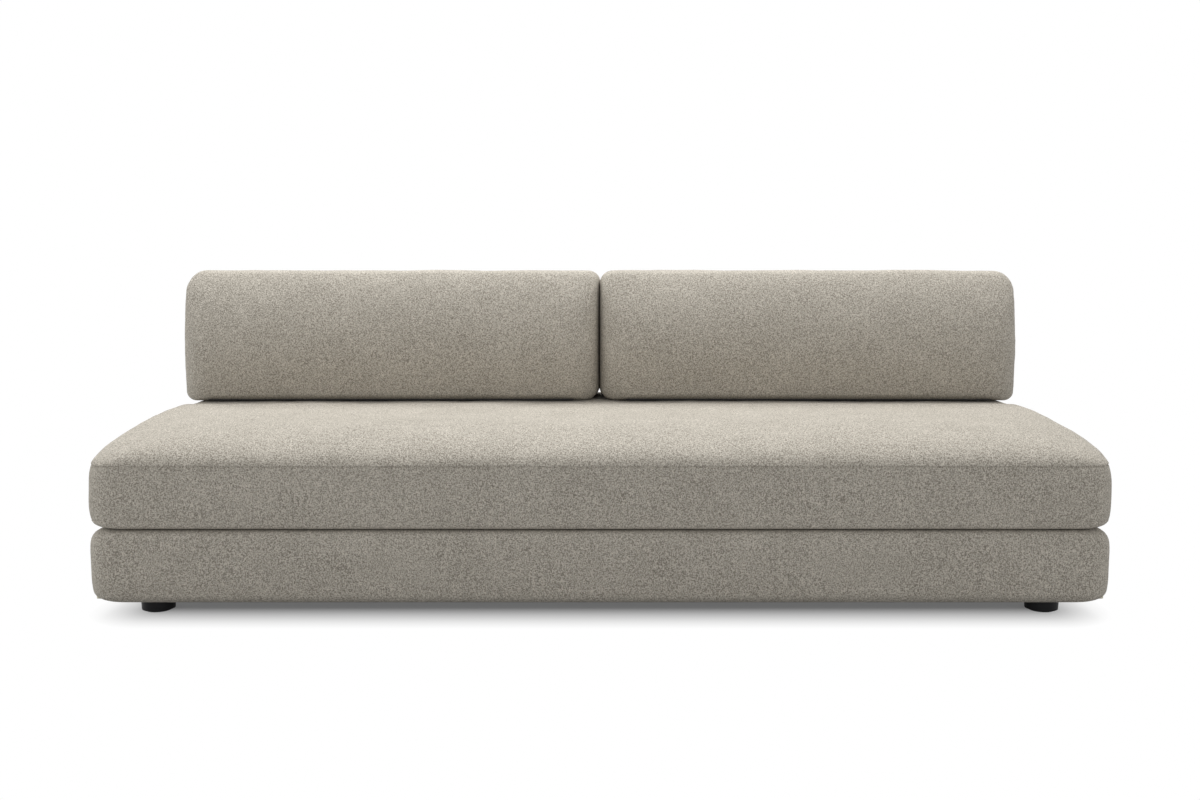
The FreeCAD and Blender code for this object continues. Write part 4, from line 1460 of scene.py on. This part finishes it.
@dataclass(frozen=True)
class Studio:
    """White floor and room, soft lamps and the camera of the photograph."""

    camera_y: float = -3.19385
    camera_z: float = 0.788
    pitch: float = math.radians(6)
    focal_pixels: float = 1229.8
    image_width: int = 1200
    sensor: float = 36.0
    floor_size: float = 60.0
    sky: float = 0.42
    floor_seen: float = 0.86
    floor_bounce: float = 0.42
    shadow_half: Span = (1.02, 0.37)
    shadow_fade: float = 0.17
    painted_glow_in_shadow: float = 0.07
    aim: tuple[float, float, float] = (0.0, 0.0, 0.4)

    def make_camera(self) -> None:
        """Camera in the middle, level with the top of the back, looking down a little."""
        data = bpy.data.cameras.new("camera")
        data.sensor_width = self.sensor
        data.lens = self.focal_pixels * self.sensor / self.image_width
        camera = bpy.data.objects.new("camera", data)
        camera.location = (0, self.camera_y, self.camera_z)
        camera.rotation_euler = (math.pi / 2 - self.pitch, 0, 0)
        bpy.context.scene.collection.objects.link(camera)
        bpy.context.scene.camera = camera

    def make_world(self) -> None:
        """Soft even light, and a white background for what sees it."""
        world = bpy.data.worlds.new("room")
        bpy.context.scene.world = world
        world.use_nodes = True
        nodes, links = world.node_tree.nodes, world.node_tree.links
        nodes.clear()
        path = nodes.new("ShaderNodeLightPath")
        seen = nodes.new("ShaderNodeMath")
        seen.operation = "MAXIMUM"
        links.new(path.outputs["Is Camera Ray"], seen.inputs[0])
        links.new(path.outputs["Is Transmission Ray"], seen.inputs[1])
        strength = nodes.new("ShaderNodeMapRange")
        strength.inputs["To Min"].default_value = self.sky
        strength.inputs["To Max"].default_value = 1.0
        links.new(seen.outputs[0], strength.inputs["Value"])
        background = nodes.new("ShaderNodeBackground")
        background.inputs["Color"].default_value = (1, 1, 1, 1)
        links.new(strength.outputs["Result"], background.inputs["Strength"])
        output = nodes.new("ShaderNodeOutputWorld")
        links.new(background.outputs[0], output.inputs["Surface"])

    def make_floor(self) -> None:
        """White floor that keeps the sofa's shadow near it, lifted a little by a painted white glow, and is
        plain white further off, where the painted glow fades the shadow out.
        """
        corners = self.floor_size / 2 * np.array([(-1, -1, 0), (1, -1, 0), (1, 1, 0), (-1, 1, 0)])
        s = Shader("Floor")
        place = s.place()
        outside = s.add("VectorMath", {0: place}, operation="ABSOLUTE").outputs["Vector"]
        for operation, other in (("SUBTRACT", (*self.shadow_half, 0)), ("MAXIMUM", (0, 0, 0))):
            outside = s.add("VectorMath", {0: outside, 1: other}, operation=operation).outputs["Vector"]
        away = s.add("VectorMath", {0: outside}, operation="LENGTH").outputs["Value"]
        # Painted light: for camera and glossy rays a white glow is mixed over the floor by distance from the
        # sofa's footprint; it lifts the cast shadow a little inside and fades it out to plain white beyond.
        far = s.spread(away, -0.01, self.shadow_fade, self.painted_glow_in_shadow, 1.0)
        path = s.add("LightPath").outputs
        seen = s.math("MAXIMUM", path["Is Camera Ray"], path["Is Glossy Ray"])
        bounce = (self.floor_bounce,) * 3
        tone = s.colour(seen, bounce, (self.floor_seen,) * 3)
        matt = s.add("BsdfDiffuse", {"Color": tone}).outputs[0]
        white = s.add("Emission", {"Color": (1, 1, 1, 1), "Strength": 1.0}).outputs[0]
        mix = s.add("MixShader", {0: s.math("MULTIPLY", far, seen), 1: matt, 2: white}).outputs[0]
        s.links.new(mix, s.output.inputs["Surface"])
        floor = make_object("floor", Form(corners, np.array([[0, 1, 2, 3]])), s.material, smooth=False)

    def make_lamp(self, name: str, place: tuple[float, float, float], size: Span, power: float) -> None:
        """Rectangular soft lamp at a place, aimed at the sofa's middle."""
        data = bpy.data.lights.new(name, "AREA")
        data.shape = "RECTANGLE"
        data.size, data.size_y = size
        data.energy = power
        lamp = bpy.data.objects.new(name, data)
        lamp.location = place
        direction = Vector(self.aim) - Vector(place)
        lamp.rotation_euler = direction.to_track_quat("-Z", "Y").to_euler()
        bpy.context.scene.collection.objects.link(lamp)

    def build(self) -> None:
        """Makes the whole studio."""
        self.make_camera()
        self.make_world()
        self.make_floor()
        self.make_lamp("overhead", (0, 0.88, 3.3), (5.0, 2.6), 152)
        self.make_lamp("front", (0, -4.4, 1.9), (6.0, 1.8), 34)
        self.make_lamp("left", (-3.6, -0.6, 1.3), (2.4, 2.0), 26)
        self.make_lamp("right", (3.6, -0.6, 1.3), (2.4, 2.0), 12)
        bpy.context.scene.view_settings.view_transform = "Standard"


def main() -> None:
    """Dresses the frame and makes every soft piece, then the studio."""
    logging.basicConfig(level=logging.INFO, format="%(name)s: %(message)s")
    finishes = Finishes()
    finishes.dress_frame(frame["record"])
    Platform(finishes).build()
    BenchCushion(finishes).build()
    for side in Side:
        BackCushion(finishes, side).build()
    Studio().build()


if __name__ == "__main__":
    main()
